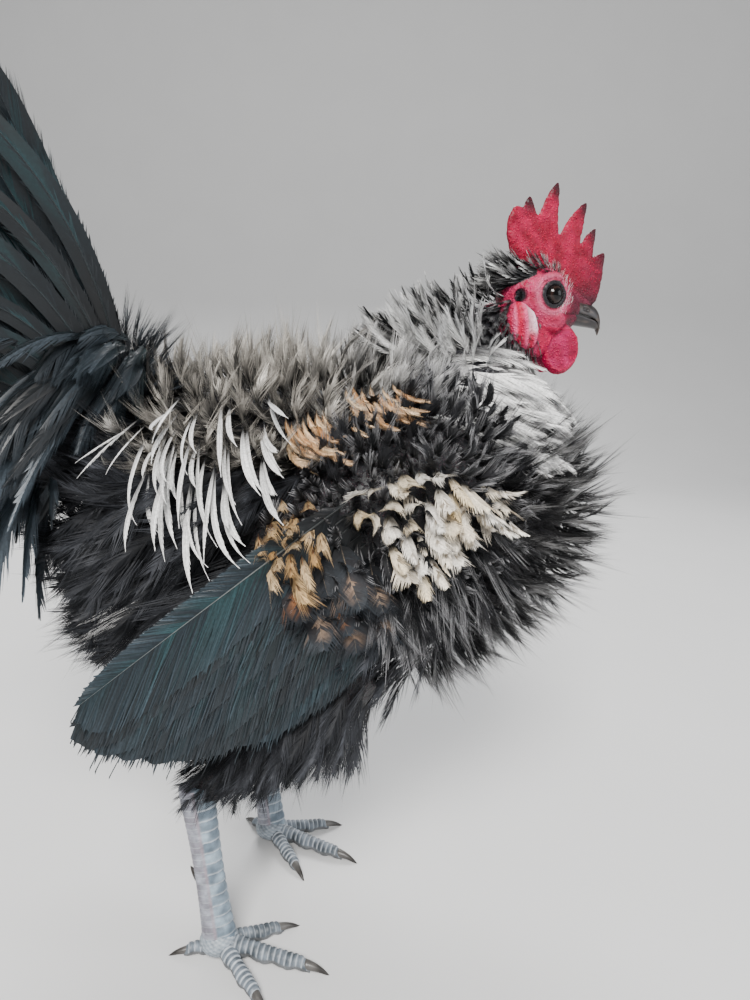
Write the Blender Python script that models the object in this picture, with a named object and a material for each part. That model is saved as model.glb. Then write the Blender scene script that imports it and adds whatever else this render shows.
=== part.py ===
"""A frizzle rooster at life size, standing, as a set of closed solids that meet face to face.

Metres, +Z up, the bird faces +X and its right side is -Y. Tables of stations are in millimetres and degrees.
The origin is at the middle of the bird's box, on the floor.
"""

import math
import random

import bmesh
import bpy
import numpy as np
from mathutils import Matrix, Vector
from mathutils.bvhtree import BVHTree

MM = 0.001
GAP = 0.0003
SEED = 7
RIGHT, LEFT = -1.0, 1.0
SIDES = (("right", RIGHT), ("left", LEFT))

# Trunk: x, z, tilt, half width, height above and depth below the line, of the flesh and the down on it.
TORSO = (
    (-68, 232, 0, 9, 10, 12),
    (-61, 230, 0, 26, 33, 34),
    (-42, 227, 0, 46, 61, 63),
    (-8, 222, 0, 64, 77, 82),
    (32, 218, 0, 73, 83, 84),
    (75, 216, 0, 74, 87, 79),
    (118, 221, 0, 68, 79, 69),
    (156, 229, 0, 54, 60, 56),
    (182, 236, 0, 33, 36, 37),
    (193, 239, 0, 11, 12, 13),
)
# Neck: the tilt is the way that it climbs, so "above" is the nape and "below" is the throat.
NECK = (
    (110, 250, 76, 54, 58, 58),
    (119, 284, 71, 46, 53, 50),
    (129, 308, 66, 37, 41, 37),
    (140, 328, 59, 21, 26, 24),
    (151, 343, 50, 14.5, 15, 17),
    (157, 350, 46, 12, 12, 13),
)
HEAD_CENTRE = Vector((159, 0, 352)) * MM
HEAD_TILT = -10
# Head: distance ahead of its centre, half width, height and depth.
HEAD = (
    (-20, 3, 4, 4),
    (-17.5, 9.5, 11.5, 10),
    (-11, 14.5, 17, 16),
    (-2, 17, 20.5, 19),
    (8, 16.5, 19.5, 18.5),
    (17, 12.8, 14.5, 14.5),
    (24, 8.8, 10, 10.5),
    (28, 7.3, 8, 8.5),
)
UPPER_BEAK = (
    (28.3, 0.4, 7.0, 7.2, 0),
    (34, 0.6, 6.2, 7.6, 0),
    (41, 0, 5.0, 6.6, 0),
    (46.5, -2.2, 3.4, 5.2, 1.2),
    (50, -5.4, 1.6, 3.4, 2.6),
    (51, -8, 0.5, 0.9, 1.4),
)
LOWER_BEAK = (
    (28.3, -0.3, 6.6, 0, 6.2),
    (35, -0.3, 5.6, 0, 5.4),
    (42, -0.5, 4.2, 0, 4.2),
    (47.5, -3.2, 2.2, 0, 1.6),
)

EYE_RADIUS = 6.2 * MM
EYE_AHEAD, EYE_ABOVE, EYE_OUT = 4.6 * MM, 4.2 * MM, 12.4 * MM
LID_RADIUS, LID_THICK = 6.3 * MM, 1.25 * MM
EAR_AHEAD, EAR_ABOVE, EAR_RADIUS = -12 * MM, 0.5 * MM, 3.0 * MM

COMB_THICK = 6.5 * MM
# Comb, x and z: the rounded lobe at its rear, then each point from the rear to the beak, and the notches between.
COMB_LOBE = ((146, 372), (140, 382), (138.5, 392), (142, 400), (147, 400.5))
COMB_TIPS = ((151, 406.5), (167, 415.5), (186, 407.5), (194, 394.5), (202, 381.5))
COMB_NOTCHES = ((156.5, 397.5), (170.5, 389.5), (185, 386), (194, 380))
COMB_FRONT = ((201.5, 366), (198.5, 353))
COMB_ROOT = ((184, 352), (166, 362))
COMB_LEAN = 0.42
WATTLE_CENTRE = (176, 8.5, 326)
WATTLE_SIZE = (11.5, 4.6, 14.5)
LOBE_CENTRE = (146.5, 18, 338)
LOBE_SIZE = (6.6, 5.2, 12.5)

# The folded wing: its outline in side view, x and z, clockwise from the wrist.
WING_OUTLINE = (
    (121, 262), (108, 288), (82, 299), (50, 294), (22, 268), (-4, 243), (-34, 214), (-66, 188), (-88, 170),
    (-85, 146), (-60, 134), (-4, 143), (34, 170), (74, 194), (104, 218), (119, 240),
)
WING_INNER = 66 * MM
WING_CENTRE = (62, 70, 246)
WING_SIZE = (64, 29, 37)
WING_SLOPE = 31
FLIGHTS = 9
FLIGHT_ROOT_TOP, FLIGHT_ROOT_LOW = (34, 254), (78, 212)
FLIGHT_TIPS = (
    (-40, 206), (-62, 188), (-79, 169), (-78, 153), (-60, 141), (-38, 142), (-14, 148), (8, 159), (32, 178),
)

TAIL_CENTRE = (-64, 0, 283)
TAIL_SIZE = (35, 22, 29)
TAIL_SLOPE = 52
TAIL_PLANE_POINT = Vector((-38, 0, 320)) * MM
TAIL_PLANE_NORMAL = Vector((-0.92, 0, 0.39)).normalized()
NECK_PLANE_POINT = Vector((70, 0, 321)) * MM
NECK_PLANE_NORMAL = Vector((0.47, 0, 0.88)).normalized()
HEAD_PLANE_POINT = Vector((151, 0, 343)) * MM
HEAD_PLANE_NORMAL = Vector((math.cos(math.radians(50)), 0, math.sin(math.radians(50))))

# Drumsticks: the lateral place of each, its spine and its radii.
THIGHS = {
    "right": (-49, ((52, 172, -142, 30, 30, 30), (34, 144, -140, 27, 30, 28), (12, 118, -138, 19, 21, 20),
                    (-8, 100, -130, 12, 13, 13), (-17, 91, -110, 9, 9.5, 9.5))),
    "left": (44, ((70, 172, -130, 30, 30, 30), (58, 144, -128, 27, 30, 28), (42, 118, -125, 19, 21, 20),
                  (30, 100, -118, 12, 13, 13), (25, 91, -100, 9, 9.5, 9.5))),
}
THIGH_ZONE_TOP = 150 * MM
# Feet: the hock, the ankle over the sole, and the heading of the middle toe.
FEET = {
    "right": ((-18.5, -50, 88), (-5, -53, 9), -27),
    "left": ((24, 43, 88), (37, 34, 9), -36),
}
SOLE_DROP = 9 * MM
SHANK_PLATES = 6
# Toes: heading from the middle toe towards the outside, length without the claw, radius.
TOES = {"inner": (-38, 38, 4.3), "middle": (0, 52, 4.7), "outer": (40, 41, 4.3), "hind": (158, 20, 3.8)}
CLAW_LENGTH = 11 * MM
SPUR_LENGTH = 13 * MM


def smooth(table, at):
    """The value of a table of stations at a place from 0 to its last row, on a smooth curve."""
    rows = np.asarray(table, float)
    last = len(rows) - 1
    i = min(max(int(at), 0), last - 1)
    f = at - i
    a, b, c, d = (rows[min(max(k, 0), last)] for k in (i - 1, i, i + 1, i + 2))
    return 0.5 * (2 * b + (c - a) * f + (2 * a - 5 * b + 4 * c - d) * f**2 + (3 * b - a - 3 * c + d) * f**3)


class Loft:
    """A body of upright or tilted rings along a line in the plane y = lateral."""

    def __init__(self, stations, lateral=0.0, fullness=2.25):
        self.stations, self.lateral, self.fullness = stations, lateral * MM, fullness
        self.last = len(stations) - 1

    def point(self, at, turn, grow=0.0):
        """turn is 0 at the top and pi / 2 at the right side."""
        x, z, tilt, half, up, down = smooth(self.stations, at)
        tilt = math.radians(tilt)
        power = 2 / self.fullness
        c, s = math.cos(turn), math.sin(turn)
        rise = math.copysign(abs(c) ** power, c) * ((up if c > 0 else down) * MM + grow)
        side = math.copysign(abs(s) ** power, s) * (half * MM + grow)
        return Vector((
            x * MM - math.sin(tilt) * rise,
            self.lateral - side,
            z * MM + math.cos(tilt) * rise,
        ))

    def normal(self, at, turn):
        step = 0.02
        lower, upper = max(at - step, 0), min(at + step, self.last)
        along = self.point(upper, turn) - self.point(lower, turn)
        around = self.point(at, turn + step) - self.point(at, turn - step)
        normal = along.cross(around).normalized()
        x, z = smooth(self.stations, at)[:2]
        centre = Vector((x * MM, self.lateral, z * MM))
        return normal if normal.dot(self.point(at, turn) - centre) > 0 else -normal

    def solid(self, rings, sides, grow=0.0):
        """Vertices and faces of the closed body."""
        verts = [
            self.point(self.last * i / (rings - 1), 2 * math.pi * j / sides, grow)
            for i in range(rings) for j in range(sides)
        ]
        faces = [
            (i * sides + j, i * sides + (j + 1) % sides, (i + 1) * sides + (j + 1) % sides, (i + 1) * sides + j)
            for i in range(rings - 1) for j in range(sides)
        ]
        faces.append(tuple(range(sides))[::-1])
        faces.append(tuple((rings - 1) * sides + j for j in range(sides)))
        return verts, faces


def material(name, colour, roughness, metallic=0.0):
    made = bpy.data.materials.new(name)
    made.use_nodes = True
    shader = made.node_tree.nodes["Principled BSDF"]
    shader.inputs["Base Color"].default_value = (*colour, 1)
    shader.inputs["Roughness"].default_value = roughness
    shader.inputs["Metallic"].default_value = metallic
    return made


def add(name, verts, faces):
    """A new object whose faces are triangles that point out."""
    mesh = bpy.data.meshes.new(name)
    mesh.from_pydata([tuple(v) for v in verts], [], faces)
    made = bpy.data.objects.new(name, mesh)
    bpy.context.scene.collection.objects.link(made)
    bm = bmesh.new()
    bm.from_mesh(mesh)
    bmesh.ops.triangulate(bm, faces=bm.faces)
    bmesh.ops.recalc_face_normals(bm, faces=bm.faces)
    if bm.calc_volume(signed=True) < 0:
        bmesh.ops.reverse_faces(bm, faces=bm.faces)
    bm.to_mesh(mesh)
    bm.free()
    return made


def remove(*objects):
    for obj in objects:
        bpy.data.objects.remove(obj)


def apply_boolean(target, operation, operand, solver="EXACT"):
    """Cuts or joins with an object, or with each object of a collection, and keeps the result."""
    modifier = target.modifiers.new("join", "BOOLEAN")
    modifier.operation = operation
    modifier.solver = solver
    if isinstance(operand, bpy.types.Collection):
        modifier.operand_type = "COLLECTION"
        modifier.collection = operand
    else:
        modifier.object = operand
    bpy.context.view_layer.update()
    graph = bpy.context.evaluated_depsgraph_get()
    mesh = bpy.data.meshes.new_from_object(target.evaluated_get(graph))
    target.modifiers.clear()
    target.data = mesh
    return target


def cut(target, *cutters):
    for cutter in cutters:
        apply_boolean(target, "DIFFERENCE", cutter)
    return target


def islands(bm):
    """The mesh's separate surfaces, as lists of faces."""
    left = set(bm.faces)
    found = []
    while left:
        group, edge = set(), [left.pop()]
        while edge:
            face = edge.pop()
            group.add(face)
            for other in (f for e in face.edges for f in e.link_faces):
                if other in left:
                    left.discard(other)
                    edge.append(other)
        found.append(group)
    return found


def keep_largest(obj):
    """Drops every surface but the one that spans the most space."""
    bm = bmesh.new()
    bm.from_mesh(obj.data)
    bmesh.ops.triangulate(bm, faces=bm.faces)

    def span(group):
        points = np.array([v.co for f in group for v in f.verts])
        return np.ptp(points, axis=0).prod()

    groups = sorted(islands(bm), key=span)
    scraps = [f for group in groups[:-1] for f in group]
    bmesh.ops.delete(bm, geom=scraps, context="FACES")
    bm.to_mesh(obj.data)
    bm.free()


def join(core, pieces):
    """One closed body of a core and the pieces rooted in it."""
    holder = bpy.data.collections.new("pieces")
    bpy.context.scene.collection.children.link(holder)
    for piece in pieces:
        bpy.context.scene.collection.objects.unlink(piece)
        holder.objects.link(piece)
    apply_boolean(core, "UNION", holder, "MANIFOLD")
    remove(*pieces)
    bpy.data.collections.remove(holder)
    keep_largest(core)
    return core


def finish(obj, name, finish_material, sharp=50):
    obj.name = obj.data.name = name
    obj.data.materials.clear()
    obj.data.materials.append(finish_material)
    obj.data.shade_smooth()
    obj.data.set_sharp_from_angle(angle=math.radians(sharp))
    return obj


def tree_of(obj):
    mesh = obj.data
    mesh.calc_loop_triangles()
    return BVHTree.FromPolygons(
        [v.co.copy() for v in mesh.vertices], [tuple(t.vertices) for t in mesh.loop_triangles]
    )


def depth_outside(tree, point):
    """The distance of a point from a body, less than 0 inside it."""
    near, normal, _, _ = tree.find_nearest(point)
    return (point - near).dot(normal)


def in_outline(outline, x, z):
    """Whether a point in side view lies inside an outline."""
    inside = False
    for (x0, z0), (x1, z1) in zip(outline, outline[1:] + outline[:1]):
        if (z0 > z) != (z1 > z) and x < (x1 - x0) * (z - z0) / (z1 - z0) + x0:
            inside = not inside
    return inside


def widened(outline, amount):
    """The outline with each point moved away from its middle."""
    middle = np.mean(outline, axis=0)
    moved = []
    for point in outline:
        away = np.array(point) - middle
        moved.append(tuple(middle + away * (1 + amount / np.linalg.norm(away))))
    return tuple(moved)


def in_wing(point, amount=0.0):
    """Whether a point lies in the space beside the trunk that a folded wing fills."""
    if abs(point.y) < WING_INNER - amount * MM:
        return False
    return in_outline(widened(WING_OUTLINE, amount), point.x / MM, point.z / MM)


def past(plane_point, plane_normal, point):
    return (point - plane_point).dot(plane_normal)


HACKLE_WIDTHS = (0.45, 0.95, 1.0, 0.62)
CURLED_WIDTHS = (0.32, 0.85, 1.0, 0.82)
COVERT_WIDTHS = (0.4, 1.0, 0.9)
# Crown feathers: station of the head's loft, turn from the top, length.
CROWN_SPOTS = ((1.0, 0.75, 15), (1.6, 0.42, 16), (1.5, 1.25, 13), (2.4, 0.55, 13), (2.3, 1.05, 11))


def vane(root, along, out, length, width, thick, lean, curl, sway=0.0, bow=1.0, widths=CURLED_WIDTHS):
    """A flat, tapered feather that leaves the surface at lean and turns up and over by curl.

    along is the way that the feathers lie, out is the surface's normal, and sway turns the tip towards the
    feather's left. It is four-sided, with a rib down each face, and both faces are split alike.
    """
    out = out.normalized()
    along = (along - out * along.dot(out)).normalized()
    bands = len(widths)
    steps = 8
    place, centres = root.copy(), []
    for k in range(bands * steps + 1):
        share = k / (bands * steps)
        angle = math.radians(lean + curl * share**bow)
        turned = Matrix.Rotation(math.radians(sway) * share**1.5, 3, out) @ along
        heading = turned * math.cos(angle) + out * math.sin(angle)
        side = turned.cross(out).normalized()
        if k % steps == 0:
            centres.append((place.copy(), heading, side))
        place = place + heading * (length / (bands * steps))
    sink = 0.3 * centres[0][1].dot(out) + 0.7
    verts = []
    for i, (centre, heading, side) in enumerate(centres[:-1]):
        if i == 0:
            centre = centre - heading * (4.5 * MM * sink)
        face = side.cross(heading).normalized()
        half, rib = width * widths[i] / 2, thick * (1 - 0.12 * i) / 2
        verts += [centre + side * half, centre + face * rib, centre - side * half, centre - face * rib]
    verts.append(centres[-1][0])
    faces = [(0, 1, 2), (0, 2, 3)]
    for i in range(0, 4 * (bands - 1), 4):
        for edge in (0, 2):
            for rib in (1, 3):
                a, b, c, d = i + edge, i + rib, i + 4 + rib, i + 4 + edge
                faces += [(a, b, c), (a, c, d)]
    base = 4 * (bands - 1)
    tip = len(verts) - 1
    faces += [(base, base + 1, tip), (base + 1, base + 2, tip), (base + 2, base + 3, tip), (base + 3, base, tip)]
    return verts, faces


def fit(clear, length, **shape):
    """The vane at the greatest length, down to half, at which all of it is clear of the other parts."""
    for share in (1, 0.88, 0.76, 0.64, 0.52):
        verts, faces = vane(length=length * share, **shape)
        centres = [sum((verts[i] for i in face), Vector()) / len(face) for face in faces]
        if all(clear(v) for v in verts + centres):
            return add("vane", verts, faces)
    return None


def ellipsoid(name, centre, size, slope=0.0, segments=16, rings=10, yaw=0.0):
    bm = bmesh.new()
    bmesh.ops.create_uvsphere(bm, u_segments=segments, v_segments=rings, radius=1)
    turned = Matrix.Rotation(math.radians(yaw), 4, "Z") @ Matrix.Rotation(math.radians(slope), 4, "Y")
    place = Matrix.Translation(Vector(centre) * MM) @ turned @ Matrix.Diagonal((*[s * MM for s in size], 1))
    bmesh.ops.transform(bm, matrix=place, verts=bm.verts)
    bmesh.ops.triangulate(bm, faces=bm.faces)
    mesh = bpy.data.meshes.new(name)
    bm.to_mesh(mesh)
    bm.free()
    made = bpy.data.objects.new(name, mesh)
    bpy.context.scene.collection.objects.link(made)
    return made


def ring(name, centre, radius, thick, yaw, segments=12, sides=4):
    """A torus whose hole runs across the bird."""
    verts, faces = [], []
    turned = Matrix.Rotation(yaw, 3, "Z")
    for i in range(segments):
        a = 2 * math.pi * i / segments
        for j in range(sides):
            b = 2 * math.pi * j / sides
            reach = radius + thick * math.cos(b)
            verts.append(centre + turned @ Vector((reach * math.cos(a), thick * math.sin(b), reach * math.sin(a))))
            k, m = (i + 1) % segments, (j + 1) % sides
            faces.append((i * sides + j, k * sides + j, k * sides + m, i * sides + m))
    return add(name, verts, faces)


def half_space(name, point, normal, shift=0.0, size=0.5):
    """A large block that fills the side of a plane that its normal points to."""
    bm = bmesh.new()
    bmesh.ops.create_cube(bm, size=size)
    normal = normal.normalized()
    turn = normal.to_track_quat("Z", "Y").to_matrix().to_4x4()
    place = Matrix.Translation(point + normal * (shift + size / 2)) @ turn
    bmesh.ops.transform(bm, matrix=place, verts=bm.verts)
    mesh = bpy.data.meshes.new(name)
    bm.to_mesh(mesh)
    bm.free()
    made = bpy.data.objects.new(name, mesh)
    bpy.context.scene.collection.objects.link(made)
    return made


def mirrored(point, side):
    x, y, z = point
    return (x, side * y, z)


def head_place(ahead, out, above):
    """A point given in the head's own directions, in metres from its centre."""
    tilt = math.radians(HEAD_TILT)
    forward, up = Vector((math.cos(tilt), 0, math.sin(tilt))), Vector((-math.sin(tilt), 0, math.cos(tilt)))
    return HEAD_CENTRE + forward * ahead + Vector((0, out, 0)) + up * above


def head_stations(rows):
    """Stations of a loft in the head's own directions: ahead, half width, above, below."""
    made = []
    for ahead, half, up, down in rows:
        place = head_place(ahead * MM, 0, 0) / MM
        made.append((place.x, place.z, HEAD_TILT, half, up, down))
    return made


def beak_stations(rows):
    made = []
    for ahead, above, half, up, down in rows:
        place = head_place(ahead * MM, 0, above * MM) / MM
        made.append((place.x, place.z, HEAD_TILT, half, up, down))
    return made


def comb_outline():
    """The comb in side view, each point swelling a little on its rear side before it narrows."""
    outline = list(COMB_LOBE)
    for i, (x, z) in enumerate(COMB_TIPS):
        before = COMB_NOTCHES[i - 1] if i else COMB_LOBE[-1]
        outline.append((x * COMB_LEAN + before[0] * (1 - COMB_LEAN) - 0.8, z * 0.5 + before[1] * 0.5))
        outline.append((x, z))
        if i < len(COMB_NOTCHES):
            outline.append(COMB_NOTCHES[i])
    return outline + list(COMB_FRONT) + list(COMB_ROOT)


def plate(name, outline, thick, inset):
    """An upright blade of an outline in side view, thinned towards its edge."""
    points = [Vector((x, 0, z)) * MM for x, z in outline]
    count = len(points)
    rim, inner = [], []
    for i, point in enumerate(points):
        before, after = points[i - 1], points[(i + 1) % count]
        tangent = (after - before).normalized()
        inward = Vector((tangent.z, 0, -tangent.x))
        rim.append(point)
        inner.append(point + inward * inset)
    verts = rim + [p + Vector((0, s * thick / 2, 0)) for s in (RIGHT, LEFT) for p in inner]
    faces = []
    for i in range(count):
        j = (i + 1) % count
        faces += [(i, j, count + j, count + i), (j, i, 2 * count + i, 2 * count + j)]
    faces += [tuple(range(count, 2 * count)), tuple(range(3 * count - 1, 2 * count - 1, -1))]
    return add(name, verts, faces)


def horn(name, root, heading, droop, length, radius, sides=6, bands=3, flat=None):
    """A tapered, curved point such as a claw or a spur, sunk into nothing: its root is a flat face."""
    heading = heading.normalized()
    down = droop.normalized()
    verts = []
    place = root.copy()
    for i in range(bands):
        share = i / bands
        angle = math.radians(50) * share
        ahead = heading * math.cos(angle) + down * math.sin(angle)
        across = heading.cross(down).normalized()
        third = across.cross(ahead).normalized()
        reach = radius * (1 - share) ** 0.8
        for j in range(sides):
            turn = 2 * math.pi * j / sides
            verts.append(place + across * reach * math.cos(turn) + third * reach * math.sin(turn))
        place = place + ahead * (length / bands)
    verts.append(place)
    faces = [tuple(range(sides))]
    for i in range(bands - 1):
        for j in range(sides):
            k = (j + 1) % sides
            a, b = i * sides, (i + 1) * sides
            faces.append((a + j, a + k, b + k, b + j))
    base = (bands - 1) * sides
    faces += [(base + j, base + (j + 1) % sides, len(verts) - 1) for j in range(sides)]
    if flat is not None:
        for v in verts:
            v.z = max(v.z, flat)
    return add(name, verts, faces)


class Bird:
    """The cores that the parts grow from, and what each part's feathers have to keep clear of."""

    def __init__(self):
        self.torso = Loft(TORSO)
        self.neck = Loft(NECK)
        self.head = Loft(head_stations(HEAD), fullness=2.15)
        self.thighs = {name: Loft(rows, lateral) for name, (lateral, rows) in THIGHS.items()}
        guides = {
            "torso": add("guide", *self.torso.solid(28, 28)),
            "neck": add("guide", *self.neck.solid(14, 24)),
            "head": add("guide", *self.head.solid(18, 20)),
            "tail": ellipsoid("guide", TAIL_CENTRE, TAIL_SIZE, TAIL_SLOPE),
        }
        for name, side in SIDES:
            guides["thigh_" + name] = add("guide", *self.thighs[name].solid(12, 16))
            guides["shank_" + name] = add("guide", *shank_solid(name))
            guides["wing_" + name] = self.wing_core(side)
            guides["lobe_" + name] = ellipsoid("guide", mirrored(LOBE_CENTRE, side), LOBE_SIZE)
            guides["wattle_" + name] = ellipsoid("guide", mirrored(WATTLE_CENTRE, side), WATTLE_SIZE)
        self.trees = {name: tree_of(obj) for name, obj in guides.items()}
        remove(*guides.values())
        self.random = random.Random(SEED)

    def wing_core(self, side, name="wing_core"):
        return ellipsoid(name, mirrored(WING_CENTRE, side), WING_SIZE, -WING_SLOPE, 14, 9, yaw=side * 3)

    def vary(self, value, share):
        return value * (1 + self.random.uniform(-share, share))

    def clear_of(self, point, names, least=0.5 * MM):
        return all(depth_outside(self.trees[n], point) > least for n in names)

    def in_thigh_zone(self, point, grow):
        """Whether a point is in the space round a drumstick that its own feathers fill."""
        if point.z > THIGH_ZONE_TOP:
            return False
        return any(depth_outside(self.trees["thigh_" + n], point) < grow for n, _ in SIDES)

    def torso_clear(self, point):
        return (
            past(NECK_PLANE_POINT, NECK_PLANE_NORMAL, point) < -GAP
            and past(TAIL_PLANE_POINT, TAIL_PLANE_NORMAL, point) < -GAP
            and not in_wing(point, 1.0)
            and not self.in_thigh_zone(point, 13 * MM)
            and self.clear_of(point, ("neck", "tail", "thigh_right", "thigh_left", "wing_right", "wing_left"))
        )

    def neck_clear(self, point):
        return (
            past(NECK_PLANE_POINT, NECK_PLANE_NORMAL, point) > GAP
            and past(HEAD_PLANE_POINT, HEAD_PLANE_NORMAL, point) < -GAP
            and not in_wing(point, 1.0)
            and self.clear_of(point, ("torso", "head", "wing_right", "wing_left"))
            and self.clear_of(point, ("lobe_right", "lobe_left", "wattle_right", "wattle_left"))
        )

    def tail_clear(self, point):
        return (
            past(TAIL_PLANE_POINT, TAIL_PLANE_NORMAL, point) > GAP
            and not in_wing(point, 1.0)
            and self.clear_of(point, ("torso",))
        )

    def head_clear(self, point):
        return (
            past(HEAD_PLANE_POINT, HEAD_PLANE_NORMAL, point) > GAP
            and abs(point.y) > COMB_THICK / 2 + 0.5 * MM
            and self.clear_of(point, ("lobe_right", "lobe_left"), 0.6 * MM)
        )

    def wing_clear(self, point):
        return in_wing(point, 0.0) and self.clear_of(point, ("torso",), 0.6 * MM)

    def thigh_clear(self, name):
        side = dict(SIDES)[name]
        other = "left" if name == "right" else "right"

        def clear(point):
            return (
                point.y * side > 2 * MM
                and THIGH_ZONE_TOP > point.z > 40 * MM
                and depth_outside(self.trees["thigh_" + name], point) < 12.5 * MM
                and not in_wing(point, 1.0)
                and self.clear_of(point, ("torso", "thigh_" + other, "shank_" + name), 0.8 * MM)
            )

        return clear


def lie_at(loft, at, turn, lie):
    """The root, the way the feathers lie and the normal at a place on a loft."""
    root, out = loft.point(at, turn), loft.normal(at, turn)
    along = lie - out * lie.dot(out)
    if along.length < 0.2:
        along = lie + Vector((-0.3, 0, 0.2))
    return root, along.normalized(), out


def spots(loft, first, last, gap_above, gap_below):
    """Places spread over a loft in rows, closer together above than below."""
    found, at, row = [], first, 0
    while at < last:
        for side in (RIGHT, LEFT):
            turn = 0.5 * (row % 2) * gap_above / (loft.point(at, 0) - loft.point(at, 0.3)).length * 0.3
            while turn < math.pi - 0.12:
                if turn or side == RIGHT:
                    found.append((at, -side * turn))
                gap = gap_above if turn < 1.9 else gap_below
                turn += 0.1 * gap / (loft.point(at, turn) - loft.point(at, turn + 0.1)).length
        ahead = (loft.point(min(at + 0.1, loft.last), 0) - loft.point(at, 0)).length
        at += 0.1 * gap_above * 0.9 / max(ahead, 1 * MM)
        row += 1
    return found


def torso_vanes(bird):
    """Curled feathers over the back, flanks, breast and belly, and the long hackles of the saddle."""
    made = []
    loft = bird.torso
    for at, turn in spots(loft, 0.62, 8.55, 26.5 * MM, 34 * MM):
        x = loft.point(at, 0).x
        if x < 22 * MM and 0.42 < abs(turn) < 1.45:
            continue
        side = math.sin(turn)
        lie = Vector((-1, -0.3 * side, -0.35 * abs(side)))
        root, along, out = lie_at(loft, at, turn, lie)
        length = 50 if abs(turn) < 1.9 else 38
        made.append(fit(
            bird.torso_clear, bird.vary(length, 0.12) * MM, root=root, along=along, out=out,
            width=bird.vary(22, 0.12) * MM, thick=1.8 * MM, lean=bird.vary(40, 0.2),
            curl=bird.vary(100, 0.12), sway=bird.random.uniform(-22, 22),
        ))
    for side in (RIGHT, LEFT):
        for tier, (turn, count, length) in enumerate(((0.5, 8, 66), (0.95, 8, 60))):
            for k in range(count):
                at = 1.55 + (k + 0.5 * tier) * 0.32
                lie = Vector((-0.35, side * 0.5, -1))
                root, along, out = lie_at(loft, at, -side * turn, lie)
                made.append(fit(
                    bird.torso_clear, bird.vary(length, 0.1) * MM, root=root, along=along, out=out,
                    width=bird.vary(11, 0.12) * MM, thick=2 * MM, lean=bird.vary(44, 0.15),
                    curl=-bird.vary(30, 0.2), sway=-side * bird.vary(42, 0.3), widths=HACKLE_WIDTHS,
                ))
    return [m for m in made if m]


def neck_vanes(bird):
    """Hackles that stand up from the neck and turn over towards the head."""
    made = []
    loft = bird.neck
    rows = 7
    for row in range(rows):
        share = row / (rows - 1)
        at = 0.75 + share * 3.05
        count = round(13 - 5 * share)
        for k in range(count):
            turn = 2 * math.pi * (k + 0.5 * (row % 2)) / count
            root, along, out = lie_at(loft, at, turn, Vector((-0.25, 0, -1)))
            made.append(fit(
                bird.neck_clear, bird.vary(50 - 22 * share, 0.12) * MM, root=root, along=along, out=out,
                width=bird.vary(17 - 6 * share, 0.12) * MM, thick=1.7 * MM, lean=bird.vary(40, 0.2),
                curl=bird.vary(105, 0.12), sway=bird.random.uniform(-25, 25), widths=HACKLE_WIDTHS,
            ))
    return [m for m in made if m]


def flight_vanes(bird, side):
    """The folded flight feathers, each a little inside the one above it."""
    made = []
    for k, tip in enumerate(FLIGHT_TIPS):
        share = k / (FLIGHTS - 1)
        out_root, out_tip = 95 - 14 * share, 97 - 15 * share
        root_x, root_z = np.array(FLIGHT_ROOT_TOP) * (1 - share) + np.array(FLIGHT_ROOT_LOW) * share
        root = Vector((root_x, side * out_root, root_z)) * MM
        end = Vector((tip[0], side * out_tip, tip[1])) * MM
        along = end - root
        length = along.length
        out = Vector((0, side, 0))
        verts, faces = vane(
            root, along, out, length, width=27 * MM, thick=1.4 * MM, lean=math.degrees(math.asin(
                along.normalized().dot(out))), curl=0, sway=0, widths=(0.4, 0.85, 1.0, 0.95, 0.7),
        )
        if all(bird.wing_clear(v) for v in verts):
            made.append(add("vane", verts, faces))
        else:
            shape = {"root": root, "along": along, "out": out, "width": 24 * MM, "thick": 1.4 * MM}
            made.append(fit(bird.wing_clear, length, lean=0, curl=0, widths=(0.4, 0.85, 1.0, 0.95, 0.7), **shape))
    return [m for m in made if m]


def covert_vanes(bird, side):
    """Curled coverts in tiers over the wing."""
    made = []
    slope = math.radians(WING_SLOPE)
    centre = Vector(mirrored(WING_CENTRE, side))
    for tier in range(5):
        across = -0.62 + tier * 0.33
        count = (4, 5, 6, 5, 4)[tier]
        for k in range(count):
            ahead = 0.82 - (k + 0.5 * (tier % 2)) * 1.62 / count
            if ahead**2 + across**2 > 0.97:
                continue
            local = Vector((ahead, side * math.sqrt(1 - min(0.96, ahead**2 + across**2)), across))
            scaled = Vector((local.x * WING_SIZE[0], local.y * WING_SIZE[1], local.z * WING_SIZE[2]))
            grad = Vector((local.x / WING_SIZE[0], local.y / WING_SIZE[1], local.z / WING_SIZE[2]))
            turned = Matrix.Rotation(-slope, 3, "Y")
            root, out = (centre + turned @ scaled) * MM, (turned @ grad).normalized()
            lie = Vector((-0.8, 0, -0.6))
            made.append(fit(
                bird.wing_clear, bird.vary(36, 0.1) * MM, root=root, along=lie, out=out,
                width=bird.vary(21, 0.1) * MM, thick=1.7 * MM, lean=bird.vary(28, 0.2),
                curl=bird.vary(105, 0.12), sway=bird.random.uniform(-15, 15), widths=COVERT_WIDTHS,
            ))
    return [m for m in made if m]


def crown_vanes(bird):
    """Short spiky feathers behind the comb and over the ears."""
    made = []
    loft = bird.head
    for at, turn, length in CROWN_SPOTS:
        for side in (RIGHT, LEFT):
            root, along, out = lie_at(loft, at, -side * turn, Vector((-1, 0, 0.1)))
            made.append(fit(
                bird.head_clear, length * MM, root=root, along=along, out=out, width=6 * MM, thick=1.2 * MM,
                lean=46, curl=18, sway=side * bird.random.uniform(-12, 12), widths=COVERT_WIDTHS,
            ))
    return [m for m in made if m]


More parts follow.
